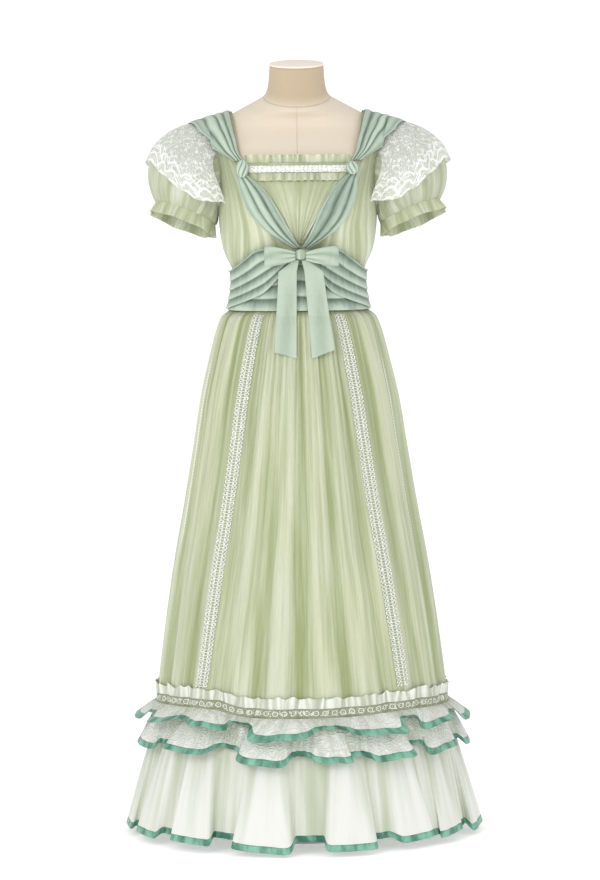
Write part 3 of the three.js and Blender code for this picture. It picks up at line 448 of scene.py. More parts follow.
def bodice_point(x, way, side):
    if way > TURN_OVER:
        arc = way - TURN_OVER
        return over_shoulder(x, arc if side == FRONT else 180 - arc)
    z = ARMPIT + way
    turn = turn_at(x, z)
    return section_point(turn if side == FRONT else 180 - turn, z, stand_off(z))


def v_seam(way):
    z = ARMPIT + way
    return SEAM / 2 + max(0.0, NECK_HALF * (z - V_POINT + V_PARTS) / (NECKLINE - V_POINT))


def side_row(way, side, sign, shares):
    inner = float(STRAP_IN.read("x", way)) if way > TURN_OVER else v_seam(way) + SEAM
    if way > 0:
        return bodice_point(sign * mix(inner, float(ARMHOLE.read("x", way)), shares), way, side)
    z = ARMPIT + way
    by_turn = mix(float(turn_at(inner, z)), 90 - SEAM / 2, shares)
    by_place = np.minimum(turn_at(mix(inner, float(ARMHOLE.read("x", 0)), shares), z), 90 - SEAM / 2)
    turn = sign * mix(by_turn, by_place, smooth(way, -130, 0))
    return section_point(turn if side == FRONT else 180 - turn, z, stand_off(z))


def ridges(across, along, count, seed, closed=False, wide=0.42):
    """Soft ridges (0 to 1) that lie along a sheet, each with its own place, width, height, lean
    and length. Across and along run from 0 to 1."""
    chance = np.random.default_rng(seed)
    high = np.zeros(np.broadcast_shapes(across.shape, along.shape))
    for k in range(count):
        middle = (k + 0.5 + chance.uniform(-0.3, 0.3)) / count
        off = across - (middle + chance.uniform(-0.5, 0.5) / count * (along - 0.5))
        if closed:
            off = (off + 0.5) % 1 - 0.5
        start, end = chance.uniform(-0.5, 0.3), chance.uniform(0.7, 1.5)
        shown = smooth(along, start, start + 0.3) * (1 - smooth(along, end - 0.3, end))
        tall = chance.uniform(0.4, 1) * shown
        high += tall * np.exp(-((off * count / wide / chance.uniform(0.7, 1.2)) ** 2))
    return np.minimum(high, 1.15)


def crinkled(light, pale, deep, bite=0.0011, spacing=3.4):
    """Paint of crinkled cotton: fine uneven crinkles along the cloth, paler in cool streaks, with
    painted shade in its folds and crinkles and painted light on their crests."""

    def paint(start, across, along, high):
        lean = start.point(across / 60, along / 260, 3.0).noise(1.0) * 8
        fine = start.point((across + lean) / spacing, along / 150, 1.7).noise(3.0, 0.65)
        broad = start.point((across + lean) / (spacing * 8), along / 420, 8.1).noise(2.0)
        crease = (fine * 0.6 + broad * 0.4).ramp(0.3, 0.7)
        # Painted shade and light: the deep colour lies low in the folds and in the hollows of the crinkles
        # and broad folds, the light one on their crests.
        tone = (fine.ramp(0.3, 0.7) * 0.22 + broad.ramp(0.35, 0.65) * 0.3 + high * 0.6).ramp(0.1, 1.0)
        cool = start.point(across / 70, along / 300, 5.5).noise(1.0).ramp(0.4, 0.62)
        return {
            "Base Color": tone.blend(deep, cool.blend(light, pale)),
            "Roughness": 0.88,
            "Sheen Weight": 0.25,
            "Sheen Roughness": 0.5,
            "Normal": crease.bump(bite),
        }

    return paint


def sewn(piece, grid, nodes, closed=False, turned=1):
    """Hides the model's parts that a piece of cloth stands for and works out the size of its flat
    cut. A knot's outside is turned over on itself, and is twice as wide as its cut."""
    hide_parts(*nodes)
    width = lengths(grid, closed, 1)[:, -1].max() * MM / turned
    length = lengths(grid, closed, 0)[-1].max() * MM
    ring = np.concatenate([grid, grid[:, :1]], 1) if closed else grid
    a, b = ring[1:, 1:] - ring[:-1, :-1], ring[1:, :-1] - ring[:-1, 1:]
    area = float(np.linalg.norm(np.cross(a, b), axis=-1).sum() / 2 * MM * MM) / turned


GATHER_DEEP = 2.4
bodice_cotton = look("bodice_cotton", crinkled(
    colour(222, 226, 198), colour(221, 227, 206), colour(170, 179, 138), spacing=2.4,
))


def rise_share(ways):
    """A panel's normals are level up to the neckline and free over the shoulder."""
    return smooth(ways, TURN_OVER - 12, TURN_OVER + 14)


def gathered(flat, ways, seed, count):
    """Lifts a flat panel by uneven gathers that rise out of the waistband and fade upwards."""
    rows, cols = flat.shape[:2]
    across, along = np.linspace(0, 1, cols)[None], np.linspace(0, 1, rows)[:, None]
    share = (np.minimum(ways, TURN_OVER) + ARMPIT - WAISTBAND_TOP) / (FAN_HEIGHT - WAISTBAND_TOP)
    deep = np.sin(np.pi * np.sqrt(np.clip(share, 0, 1)))[:, None]
    fine = ridges(across, along, count, seed) * 0.75 + ridges(across, along, count * 3, seed + 1) * 0.35
    edge = smooth(across, 0, 0.06) * (1 - smooth(across, 0.94, 1))
    # The second value is how high each point lies on the gathers, which sets the painted shade in their
    # hollows.
    return GATHER_DEEP * deep * fine * edge, fine * (0.3 + 0.7 * deep) * edge


def laid_core(grid):
    """The middle of the bodice at each point's level, and under the shoulders that of the fan."""
    middle = grid[..., 1] * 0 + FAN_MID_Y
    return np.stack([grid[..., 0] * 0, middle, np.minimum(grid[..., 2], FAN_HEIGHT)], -1)


front_ways = np.linspace(WAIST + SEAM / 2 - ARMPIT, TURN_OVER, 78)
panel_ways = np.concatenate([front_ways, TURN_OVER + np.linspace(4, 89.8, 24)])
shares = np.linspace(0, 1, 90)
for face, side in FACES.items():
    for name, sign in SIDES.items():
        flat = np.stack([side_row(way, side, sign, shares) for way in panel_ways])
        gather, crest = gathered(flat, panel_ways, 11 + 3 * sign + side, 9 if side == FRONT else 7)
        grid = moved(flat, gather + GAUZE, core=laid_core(flat), upright=rise_share(panel_ways))
        panel = surface(f"side_panel_{face}_{name}", grid, bodice_cotton, crest=crest)
        sewn(panel, grid, [f"bodice_{face}_{name}"])
    ways = np.linspace(V_POINT - V_PARTS + 0.4, NECKLINE, 64) - ARMPIT
    flat = np.stack([bodice_point((v_seam(way) - SEAM) * np.linspace(-1, 1, 120), way, side) for way in ways])
    gather, crest = gathered(flat, ways, 31 + side, 15)
    grid = moved(flat, gather + GAUZE, upright=0 * ways)
    panel = surface(f"centre_panel_{face}", grid, bodice_cotton, crest=crest)
    sewn(panel, grid, [f"bodice_{face}_centre"])

# The neckline: a narrow standing frill of the same cotton along the front and the back, a band
# of white looped lace across the front under it, and a second, hanging frill under the lace.
# All of them are gathered or laid along their seam and stitched to the centre panel's edge.

LACE = 1.1
STAND_TALL, DROP_TALL, NECK_BAND_TALL = 15, 15, 16
NECK_LIFT = GAUZE + GATHER_DEEP - 0.7
band_low = NECKLINE - 1 - NECK_BAND_TALL


def looped_lace(start, across, along, high):
    """Rows of white thread loops on a narrow tape."""
    wander = start.point(across / 6, along / 9, 2.0).noise(1.0) * 1.6
    loop = (across / 8.4 + wander).rest(1.0) - 0.5
    up = (along - 8.0) / 8.0
    ring = (loop * loop * 5 + (abs(up) - 0.5) * (abs(up) - 0.5) * 7) ** 0.5
    thread = 1 - abs(ring - 0.66).ramp(0.3, 0.62)
    tape = 1 - abs(up).ramp(0.1, 0.24)
    cover = thread.most(tape)
    return {
        "Base Color": cover.blend(colour(196, 204, 182), colour(250, 250, 247)),
        "Roughness": 0.85,
        "Normal": cover.bump(0.0012),
        "Alpha": (cover * 2).most(1 - abs(up).ramp(0.86, 1.0)).least(1.0),
    }


neck_lace = look("neck_looped_lace", looped_lace)
frill_cotton = look("frill_cotton", crinkled(
    colour(223, 225, 197), colour(223, 227, 205), colour(156, 165, 124), bite=0.0006,
))


def across_front(low, high, half, side, rows, cols, out):
    """A strip across the centre panel between two heights, out in front of it."""
    lines = []
    for k, z in enumerate(np.linspace(low, high, rows)):
        x = np.linspace(-half, half, cols)
        line = bodice_point(x, min(z, NECKLINE) - ARMPIT, side)
        depth = out(k / (rows - 1), np.linspace(0, 1, cols))
        line[:, 1] += side * depth
        line[:, 2] = z + 0.35 * (depth - depth.min())
        lines.append(line)
    return np.stack(lines)


def ruffled(count, seed, low_deep, high_deep, lift):
    """Uneven small waves, as deep as given at the strip's lower and upper edge."""
    chance = np.random.default_rng(seed)
    knots = np.cumsum(chance.uniform(0.5, 1.6, count + 1))
    knots = (knots - knots[0]) / (knots[-1] - knots[0])
    size = chance.uniform(0.35, 1.0, count + 1)

    def out(up, across):
        turn = np.interp(across, knots, np.arange(count + 1))
        wave = (1 - np.cos(2 * np.pi * turn)) / 2 * np.interp(across, knots, size)
        return lift + wave * mix(low_deep, high_deep, up)

    return out


STANDING, LACED = (NECKLINE + SEAM, NECKLINE + STAND_TALL), (band_low, NECKLINE - 1)
HANGING = (band_low - SEAM - DROP_TALL, band_low - SEAM)
NECK_ROWS, NECK_COLUMNS = 9, 260
FRILL_WALL = 0.7
# Each strip: its piece, node and side, its two heights, half its width and its waves.
NECK_STRIPS = [
    ("neck_frill_front", "frill_neck_front", FRONT, STANDING, NECK_HALF - 3, (13, 5, 0.6, 8.0, 0.6)),
    ("neck_frill_back", "frill_neck_back", BACK, STANDING, NECK_HALF - 3, (19, 6, 0.6, 5.4, 0.6)),
    ("neck_lace_band", "lace_band_neck", FRONT, LACED, NECK_HALF - 10, (4, 7, 0, 0, NECK_LIFT)),
    ("neck_frill_lower", "frill_neck_lower", FRONT, HANGING, NECK_HALF - 25, (11, 8, 7.5, 0.8, NECK_LIFT)),
]
for name, node, side, (low, high), half, waves in NECK_STRIPS:
    out = ruffled(*waves)
    grid = across_front(low, high, half, side, NECK_ROWS, NECK_COLUMNS, out)
    laced = node == "lace_band_neck"
    depth = np.array([out(up, np.linspace(0, 1, NECK_COLUMNS)) for up in np.linspace(0, 1, NECK_ROWS)])
    # Painted shade: the frills are painted darker where they lie low between their waves.
    crest = 0.5 if laced else 0.35 + 0.65 * np.clip((depth - depth.min()) / 6.0, 0, 1)
    inner = None if laced else moved(grid, -FRILL_WALL, upright=np.zeros(NECK_ROWS))
    strip = surface(name, grid, neck_lace if laced else frill_cotton, inner=inner, crest=crest)
    panel_name = "centre_panel_front" if side == FRONT else "centre_panel_back"
    sewn(strip, grid, [node])

# The sleeves: a short puff of the crinkled cotton, gathered into the armhole and into the cuff
# seam, with a cuff frill of cotton under it. A cap of white scroll lace with a scalloped edge is
# caught in the same armhole seam and lies in loose folds over the puff's top and outer side.

SLEEVE_COLUMNS, SLEEVE_ROWS, SLEEVE_GATHERS, SLEEVE_DEEP = 224, 56, 7, 3
CUFF_X, CUFF_Y, CUFF_Z, CUFF_WIDE, CUFF_DEEP, CUFF_SLANT, CUFF_DROP = 207, -4, 1147, 58, 52, 21.5, 0.2
PUFF_OUT, PUFF_RISE, PUFF_LESS, PUFF_FULL, PUFF_ALONG, PUFF_WHOLE = 0.36, 0.12, 0.09, 0.38, 0.31, 90
ARM_WAYS = np.array([0, 32, 64, 95, 117, 140, 162, 184.8])
ARM_PLACES = 2 * len(ARM_WAYS) - 2
CUFF_FRILL_LONG, CUFF_FRILL_DEEP, CUFF_WAVES = 23, 11, 7
CAP = Table(
    "way seam edge down lean",
    [(0, 0, 0, 0.6, 0), (0.5, 0.18, 0.34, 0.72, 0), (0.8, 0.29, 0.54, 0.76, 2), (1, 0.45, 0.73, 0.62, 25)],
)
CAP_FOLDS, CAP_DEEP, CAP_FLARE, CAP_CLEAR, CAP_START = 6, 12, 3.5, 1.5, 0.05
CAP_EDGE_ROWS = 9  # rows of scallops that the pattern would have if they covered the whole cap


def unit(vector):
    return vector / np.maximum(np.linalg.norm(vector, axis=-1, keepdims=True), 1e-9)


def periodic(values, at):
    """Reads a closed run of values with a smooth curve through them."""
    count = len(values)
    i = np.floor(at).astype(int)
    t = (at - i)[..., None]
    a, b, c, d = (values[(i + k) % count] for k in (-1, 0, 1, 2))
    return 0.5 * (2 * b + (c - a) * t + (2 * a - 5 * b + 4 * c - d) * t**2 + (3 * b - a - 3 * c + d) * t**3)


def armhole_places(sign):
    """The armhole's edge from the top down the front and up the back: at each place the panel's
    inner point, its outer point, and the way in which the panel runs on past its edge."""
    run = {}
    for face, side in FACES.items():
        places = []
        for way in ARM_WAYS:
            near = side_row(way, side, sign, np.array([0.9, 0.95, 1.0]))
            above = side_row(min(way + 4, ARM_WAYS[-1]), side, sign, np.array([0.95, 1.0]))
            below = side_row(max(way - 4, 0), side, sign, np.array([0.95, 1.0]))
            past = unit(near[2] - near[1]) if way > 0 else np.array([0, 0, 1.0])
            out = np.cross(near[2] - near[1], above[1] - below[1])
            out[2] *= rise_share(np.array([way]))[0]
            out = unit(out)
            if (out * (near[2] - (0, FAN_MID_Y, min(near[2, 2], FAN_HEIGHT)))).sum() < 0:
                out = -out
            places.append((near[2], near[2] + out * GAUZE, past))
        run[face] = places
    front, back = run["front"][::-1], run["back"]
    top = tuple((np.asarray(f) + np.asarray(b)) / 2 for f, b in zip(front[0], back[-1]))
    return [np.array([place[k] for place in [top, *front[1:], *back[1:-1]]]) for k in (0, 1, 2)]


def scroll_lace(start, across, along, high):
    """White corded scrolls and petals on a fine net."""
    twist = start.point(across / 24, along / 24, 5.0).noise(1.0)
    place = start.point(across / 15 + twist * 2.1, along / 15 - twist * 2.3)
    cord = 1 - place.cells("DISTANCE_TO_EDGE").ramp(0.02, 0.12)
    petal = 1 - abs(place.cells() - 0.3).ramp(0.03, 0.13)
    leaf = start.point(across / 8, along / 11, 2.0).noise(1.0, 0.5, 1.6).ramp(0.5, 0.62)
    border = high * CAP_EDGE_ROWS + abs((across * 0.13).sin()) * 0.8
    arcs = (1 - abs(border.rest(1.0) - 0.5).ramp(0.08, 0.26)) * high.ramp(0.6, 0.72)
    cover = (cord * 0.6).most(petal * 0.75).most(leaf * 0.8).most(arcs * 0.9)
    net = ((across * 2.6).sin() * (along * 2.6).sin()).ramp(-0.2, 0.6, 0.62, 0.74)
    return {
        "Base Color": cover.blend(colour(234, 238, 227), colour(254, 254, 252)),
        "Roughness": 0.85,
        "Normal": cover.bump(0.0012),
        "Alpha": cover.ramp(0.1, 0.9, 0.0, 0.92).most(net),
    }


sleeve_cotton = look("sleeve_cotton", crinkled(
    colour(208, 213, 188), colour(214, 220, 202), colour(166, 175, 138), spacing=2.6,
))
cap_lace = look("cap_scroll_lace", scroll_lace)
for name, sign in SIDES.items():
    hole_inner, hole_outer, hole_past = armhole_places(sign)
    arm_mid = periodic(hole_inner, np.arange(2 * ARM_PLACES) / 2).mean(0)
    slant = math.radians(CUFF_SLANT)
    side_way = np.array([sign * math.cos(slant), 0, math.sin(slant)])
    rear_way = unit(np.array([0, 1, -CUFF_DROP]))
    fall = np.array([sign * math.sin(slant), 0, -math.cos(slant)])
    cuff_mid = np.array([sign * CUFF_X, CUFF_Y, CUFF_Z])

    def cuff_way(turn):
        turn = np.asarray(turn)[..., None]
        return side_way * CUFF_WIDE * np.cos(turn) - rear_way * CUFF_DEEP * np.sin(turn)

    def puff(round_share, t):
        """The puff's smooth surface by shares: round the armhole from its top, and down to the cuff."""
        at = round_share * ARM_PLACES
        inner, past = periodic(hole_inner, at), unit(periodic(hole_past, at))
        start = inner + past * SEAM
        way = cuff_way(2 * np.pi * round_share)
        end = cuff_mid + way
        reach = np.linalg.norm(end - start, axis=-1, keepdims=True)
        away = unit((start - arm_mid) * (0, 1, 1))
        share = np.clip(reach / PUFF_WHOLE, 0, 1)
        rise = PUFF_RISE - PUFF_LESS * np.maximum(0, np.cos(2 * np.pi * round_share))[..., None]
        first = start + np.array([sign, 0, 0]) * PUFF_OUT * reach + away * rise * share * reach
        first = first + past * np.minimum(6, 0.3 * reach)
        second = end - fall * PUFF_ALONG * reach + unit(way) * PUFF_FULL * share * reach
        t = np.asarray(t)[..., None]
        s = 1 - t
        return s**3 * start + 3 * s * s * t * first + 3 * s * t * t * second + t**3 * end

    def sleeve_core(grid):
        down = np.clip((arm_mid[2] - grid[..., 2:]) / (arm_mid[2] - cuff_mid[2]), 0.3, 0.9)
        return arm_mid + (cuff_mid - arm_mid) * down

    round_shares = np.arange(SLEEVE_COLUMNS) / SLEEVE_COLUMNS
    down_shares = np.linspace(0, 1, SLEEVE_ROWS) ** 0.9
    flat = puff(np.broadcast_to(round_shares, (SLEEVE_ROWS, SLEEVE_COLUMNS)), down_shares[:, None])
    lobes = (1 - np.cos(2 * np.pi * (round_shares * SLEEVE_GATHERS - SLEEVE_GATHERS / 2))) / 2
    ends = smooth(down_shares, 0, 0.12) * (1 - smooth(down_shares, 0.86, 1))
    small = ridges(round_shares[None], down_shares[:, None], 30, 51 + sign, closed=True)
    at_ends = 0.45 + 0.55 * (np.abs(down_shares - 0.5) * 2) ** 1.5
    high = SLEEVE_DEEP * lobes[None] * np.sin(np.pi * down_shares)[:, None] * 0.8
    high = high + (small * at_ends[:, None] * 2.6 - 0.7) * ends[:, None]
    puff_grid = moved(flat, high + GAUZE, closed=True, core=sleeve_core(flat))
    at = round_shares * ARM_PLACES
    puff_grid[0] = periodic(hole_outer, at) + unit(periodic(hole_past, at)) * SEAM
    # Painted shade: the puff is painted darker between its small ridges.
    crest = np.clip(0.25 + small * 0.75, 0, 1)
    puff_piece = surface(f"puff_{name}", puff_grid, sleeve_cotton, closed=True, crest=crest)
    panel_name = f"side_panel_front_{name}"
    sewn(puff_piece, puff_grid, [f"sleeve_{name}"], closed=True)

    turns = np.arange(320) / 320 * 2 * np.pi
    chance = np.random.default_rng(61 + sign)
    size = periodic(chance.uniform(0.55, 1.0, (CUFF_WAVES, 1)), turns / (2 * np.pi) * CUFF_WAVES + 0.5)[:, 0]
    wave = (1 - np.cos(turns * CUFF_WAVES)) / 2 * size
    lettuce = np.sin(turns * 37 + 3 * np.sin(turns * 5)) * 1.1
    lines = []
    for t in np.linspace(0, 1, 12):
        way = cuff_way(turns + 0.25 * t * np.sin(turns * CUFF_WAVES) / CUFF_WAVES)
        far = np.linalg.norm(way, axis=-1, keepdims=True)
        way = unit(way) * (far + 1.0 + (t * CUFF_FRILL_DEEP * wave + lettuce * t**3)[:, None])
        lines.append(cuff_mid + way + fall * (SEAM + t * CUFF_FRILL_LONG))
    grid = np.stack(lines)
    inner = moved(grid, -FRILL_WALL, closed=True, core=cuff_mid + fall * 12)
    # Painted shade: the frill is painted darker in the troughs of its waves.
    crest = 0.3 + 0.45 * wave[None] * np.linspace(0.3, 1, 12)[:, None]
    frill = surface(f"cuff_frill_{name}", grid, frill_cotton, closed=True, inner=inner, crest=crest)
    sewn(frill, grid, [f"sleeve_frill_{name}"], closed=True)

    cap_shares, cap_ways = np.linspace(0, 1, 40)[:, None], np.linspace(-1, 1, 150)[None]
    near_way = np.abs(cap_ways)
    seam_at = mix(CAP.read("seam", near_way), CAP.read("edge", near_way), cap_shares)
    flat = puff(np.sign(cap_ways) * seam_at / 2, mix(CAP_START, CAP.read("down", near_way), cap_shares))
    lean = CAP.read("lean", near_way) * cap_shares
    flat = flat + np.stack([-sign * lean, -np.sign(cap_ways) * 0.4 * lean, 0 * lean], -1)
    folds = (1 - np.cos(np.pi * CAP_FOLDS * (cap_ways + 1))) / 2
    uneven = 0.75 + 0.25 * np.sin(cap_ways * 7 + sign * 2)
    scallop = np.abs(np.sin(cap_ways * 13)) * smooth(cap_shares, 0.8, 1) * 5
    lift = GAUZE + CAP_CLEAR + SLEEVE_DEEP * np.sqrt(cap_shares) + 0.8
    lift = lift + (CAP_FLARE + CAP_DEEP * folds * uneven) * cap_shares**1.6
    grid = moved(flat, lift, core=sleeve_core(flat))
    grid[..., 2] -= scallop
    lace_cap = surface(f"lace_cap_{name}", grid, cap_lace, crest=cap_shares + 0 * folds)
    sewn(lace_cap, grid, [f"sleeve_lace_{name}"])

# The skirt: a front and a back of the crinkled cotton, gathered into the waist and joined at the
# side seams. It falls in soft uneven folds to the tiers, and fine crinkles run all down it.

SKIRT_LOW, SKIRT_COLUMNS, QUARTER, STRIP_COLUMN, FOLD_STEP = 172, 60, 15, 7, 3
SKIRT = Table(
    "z wide front back",
    [
        (172, 264, 234, 238),
        (237, 262, 232, 236),
        (276, 259, 229, 233),
        (389, 244, 214, 219),
        (501, 227, 196, 202),
        (613, 207, 178, 184),
        (725, 189, 161, 167),
        (808, 176, 149, 153),
        (864, 164, 137, 139),
        (925, 150, 121, 119),
        (947, 143, 113, 109),
        (958, 137, 107, 102),
        (967, 127, 97, 91),
    ],
)
FOLD_DEEP = Table("z deep", [(172, 9), (560, 9), (860, 6), (967, 0)])
STRIP_TURNS_TOP, STRIP_TURNS_BOTTOM = (27, 36.5), (42, 48)


def skirt_turn(j, z):
    """The turn of a column: even at the hem, closer between the lace strips at the waist."""
    j = j % SKIRT_COLUMNS
    quarter = np.floor(j / QUARTER).astype(int)
    within = j - quarter * QUARTER
    from_front = np.where(quarter % 2 == 0, within, QUARTER - within)

    def bend(low, high):
        places = [0, STRIP_COLUMN, STRIP_COLUMN + 1, QUARTER]
        return np.interp(from_front, places, [0, low, high, 90])

    turn = mix(bend(*STRIP_TURNS_BOTTOM), bend(*STRIP_TURNS_TOP), (z - SKIRT_LOW) / (WAIST - SKIRT_LOW))
    return np.choose(quarter, [turn, 180 - turn, 180 + turn, 360 - turn])


def skirt_point(turn, z, off=0.0, height=None):
    cos, sin = np.cos(np.radians(turn)), np.sin(np.radians(turn))
    deep = np.where(cos > 0, SKIRT.read("front", z), SKIRT.read("back", z))
    x = (SKIRT.read("wide", z) + off) * sin
    return np.stack(np.broadcast_arrays(x, -(deep + off) * cos, z if height is None else height), -1)


fold_chance = np.random.default_rng(71)
fold_size = fold_chance.uniform(0.62, 1.0, (SKIRT_COLUMNS // FOLD_STEP, 3))
fold_place = fold_chance.uniform(-0.34, 0.34, (SKIRT_COLUMNS // FOLD_STEP, 3))


def near_strip(j):
    """1 under a lace strip and 0 away from it."""
    middle = STRIP_COLUMN + 0.5
    j = j % SKIRT_COLUMNS
    from_strip = np.minimum(np.abs(j - middle), np.abs(j - (SKIRT_COLUMNS - middle)))
    return 1 - smooth(from_strip, 0.8, 1.7)


def skirt_fold(j, z):
    """How far the main folds stand out, in millimetres, each of its own depth and lean."""
    up = np.clip((z - SKIRT_LOW) / (WAIST - SKIRT_LOW), 0, 1)
    strip = near_strip(j)
    fold = j / FOLD_STEP - 0.5
    sizes, places = periodic(fold_size, fold), periodic(fold_place, fold)
    size = mix(sizes[..., 0], sizes[..., 1], smooth(up, 0, 0.6))
    shift = mix(places[..., 0], places[..., 1], smooth(up, 0.1, 0.8))
    place = (j + shift * (1 - strip)) % FOLD_STEP
    from_trough = np.minimum(place, FOLD_STEP - place)
    lobe = smooth(from_trough, 0, 1.0)
    return FOLD_DEEP.read("deep", z) * lobe * mix(size, 1.0, strip), lobe


def skirt_outer(j, z, fine=0.0):
    """The skirt's outer face in millimetres, by column and height."""
    fold, _ = skirt_fold(j, z)
    return skirt_point(skirt_turn(j, z), z, fold + GAUZE + fine)


SKIRT_ROWS = np.concatenate([np.linspace(SKIRT_LOW, 860, 110), np.linspace(866, WAIST - SEAM / 2, 36)])
PICOT_SHARES, PICOT_LOW, PICOT_HIGH = [0.08, 0.898], 340, 745


def picot_edged(places):
    """The skirt's cotton with a fine looped edging down the upper part of each side."""

    def paint(start, across, along, high):
        light, pale, deep = colour(211, 215, 186), colour(211, 217, 193), colour(152, 163, 112)
        made = crinkled(light, pale, deep, bite=0.0009, spacing=2.2)(start, across, along, high)
        near = abs(across - places[0]).least(abs(across - places[1]))
        loops = 1 - (near - abs((along * 0.55).sin()) * 1.6).ramp(0.2, 1.2)
        shown = along.ramp(PICOT_LOW, PICOT_LOW + 60) * (1 - along.ramp(PICOT_HIGH - 60, PICOT_HIGH))
        made["Base Color"] = (loops * shown * 0.75).blend(made["Base Color"], colour(240, 242, 232))
        return made

    return paint


for face, first in (("front", 45), ("back", 15)):
    share = np.linspace(0, 1, 400)[None]
    j = first + np.linspace(0, SKIRT_COLUMNS / 2, 400)[None]
    z = SKIRT_ROWS[:, None]
    up = (z - SKIRT_LOW) / (WAIST - SKIRT_LOW)
    crinkle = ridges(share, up, 56, 81 + first) * 1.9 - 0.7
    pinch = ridges(share, up * 0 + 0.5, 46, 83 + first) * 3.4 * smooth(up, 0.5, 0.96)
    quiet = (1 - near_strip(j)) * smooth(z, 262, 300) * (1 - smooth(z, 955, 966))
    sides = smooth(share, 0, 0.012) * (1 - smooth(share, 0.988, 1))
    _, lobe = skirt_fold(j, z)
    grid = skirt_outer(j, z, (crinkle + pinch) * quiet * sides)
    # Painted shade: the skirt is painted darker in the troughs of its folds, gathers and crinkles, and
    # towards the waist.
    crest = lobe * 0.5 + (crinkle * 0.13 + pinch * 0.24) * quiet + 0.2 - 0.22 * smooth(up, 0.6, 0.9)
    picots = np.interp(PICOT_SHARES, share[0], lengths(grid, False, 1)[len(SKIRT_ROWS) // 2])
    cotton = look(f"skirt_cotton_{face}", picot_edged([float(place) for place in picots]))
    half = surface(f"skirt_{face}_half", grid, cotton, crest=np.clip(crest, 0, 1))
    sewn(half, grid, [f"skirt_{face}"])

# The skirt's lace: a strip of white insertion lace down each side of the front, with looped
# edges and a ladder of small holes along its middle, and a wider band round the skirt over the
# tiers, of white ovals on a grey-green ground. Both are stitched flat on the cotton.

BAND_LOW, BAND_TALL, BAND_LIFT = 237, 16, 0.6


def ladder_lace(start, across, along, high):
    side = abs(across - STRIP_MIDDLE) / STRIP_MIDDLE
    wander = start.point(across / 4, along / 5, 2.0).noise(1.0)
    turned = along + across.ramp(STRIP_MIDDLE - 1, STRIP_MIDDLE + 1) * 3.1 + wander * 5
    loop = (turned / 7.4).rest(1.0) - 0.5
    up = side - 0.62 + wander * 0.3 - 0.15
    ring = (loop * loop * 4.4 + up * up * 8.5) ** 0.5
    thread = (1 - abs(ring - 0.74).ramp(0.14, 0.4)) * wander.ramp(0.3, 0.6, 0.7, 1.0)
    rails = 1 - abs(side - 0.27).ramp(0.04, 0.12)
    rungs = (1 - abs((along / 5.2).rest(1.0) - 0.5).ramp(0.1, 0.22)) * (1 - side.ramp(0.26, 0.34))
    cover = thread.most(rails * 0.7).most(rungs * 0.75)
    inside = 1 - (side + abs(loop) * 0.4).ramp(0.9, 1.02)
    return {
        "Base Color": cover.blend(colour(184, 192, 160), colour(250, 251, 244)),
        "Roughness": 0.85,
        "Normal": cover.bump(0.0012),
        "Alpha": cover.ramp(0.15, 0.6, 0.0, 0.94).most(inside * 0.55),
    }


strip_rows = np.linspace(288, 960, 300)
first_strip = skirt_outer(STRIP_COLUMN + np.array([[0, 1.0]]), 600.0)
STRIP_MIDDLE = float(np.linalg.norm(first_strip[0, 1] - first_strip[0, 0])) / 2
strip_lace = look("strip_ladder_lace", ladder_lace)
for name, first in (("left", SKIRT_COLUMNS - STRIP_COLUMN - 1), ("right", STRIP_COLUMN)):
    ends = skirt_outer(first + np.array([[0, 1.0]]), strip_rows[:, None])
    share = np.linspace(0, 1, 9)[None, :, None]
    grid = moved(ends[:, :1] + (ends[:, 1:] - ends[:, :1]) * share, 1.1)
    strip = surface(f"strip_{name}", grid, strip_lace)
    sewn(strip, grid, [f"lace_strip_{name}"])


def oval_lace(start, across, along, high):
    up = abs(along - BAND_TALL / 2) / (BAND_TALL / 2)
    loop = (across / 17).rest(1.0) - 0.5
    oval = (loop * loop * 9 + up * up * 3.2) ** 0.5
    ring = 1 - abs(oval - 0.85).ramp(0.08, 0.28)
    dot = 1 - oval.ramp(0.12, 0.3)
    bud = start.point(across / 5.5, along / 5.5, 4.0).noise(1.0, 0.5, 1.0).ramp(0.52, 0.6)
    edge = 1 - abs(up - 0.9).ramp(0.05, 0.14)
    line = 1 - abs(up - 0.74).ramp(0.03, 0.1)
    cover = ring.most(dot).most(bud * 0.8) * (1 - line) * (1 - edge * 0.75)
    return {
        "Base Color": cover.blend(colour(146, 155, 126), colour(236, 238, 229)),
        "Roughness": 0.85,
        "Normal": cover.bump(0.001),
    }


# The hem's seams wander: how far the band stands above its level, by the turn from the front.
HEM_PATH = Table(
    "turn up",
    [
        (-180, 5), (-120, 6), (-90, 6), (-62, 12), (-36, 15), (-22, 5),
        (0, 4), (18, 5), (45, 9), (70, 5), (90, 3), (180, 5),
    ],
)


def hem_up(turn):
    return HEM_PATH.read("up", (np.asarray(turn) + 180) % 360 - 180)


band_columns = np.arange(720) * SKIRT_COLUMNS / 720
band_rows = np.linspace(BAND_LOW, BAND_LOW + BAND_TALL, 6)[:, None]
band_rows = band_rows + hem_up(skirt_turn(band_columns, BAND_LOW))[None]
grid = moved(skirt_outer(band_columns[None], band_rows), BAND_LIFT + LACE, closed=True, upright=np.zeros(6))
band = surface("hem_lace_band", grid, look("hem_oval_lace", oval_lace), closed=True)
sewn(band, grid, ["lace_band_hem"], closed=True)

# The tiers: a narrow white frill stands on the lace band, two white lace ruffles hang under it
# and a deep white voile flounce under them. Each is gathered along its top seam, so that it
# swings out in folds of uneven width and depth, and each of the three ends in green satin ribbon.

RIBBON_TALL = 12
FLARE_CURVE = 0.8


def heading_lace(start, across, along, high):
    gather = start.point(across / 3.2, along / 30, 2.0).noise(2.0)
    # Painted shade and light: darker between the gathers and lighter on the pinched crests.
    tone = (gather * 0.6 + high * 0.6).ramp(0.25, 0.95)
    return {
        "Base Color": tone.blend(colour(182, 190, 168), colour(243, 244, 237)),
        "Roughness": 0.85,
        "Normal": gather.bump(0.001),
    }


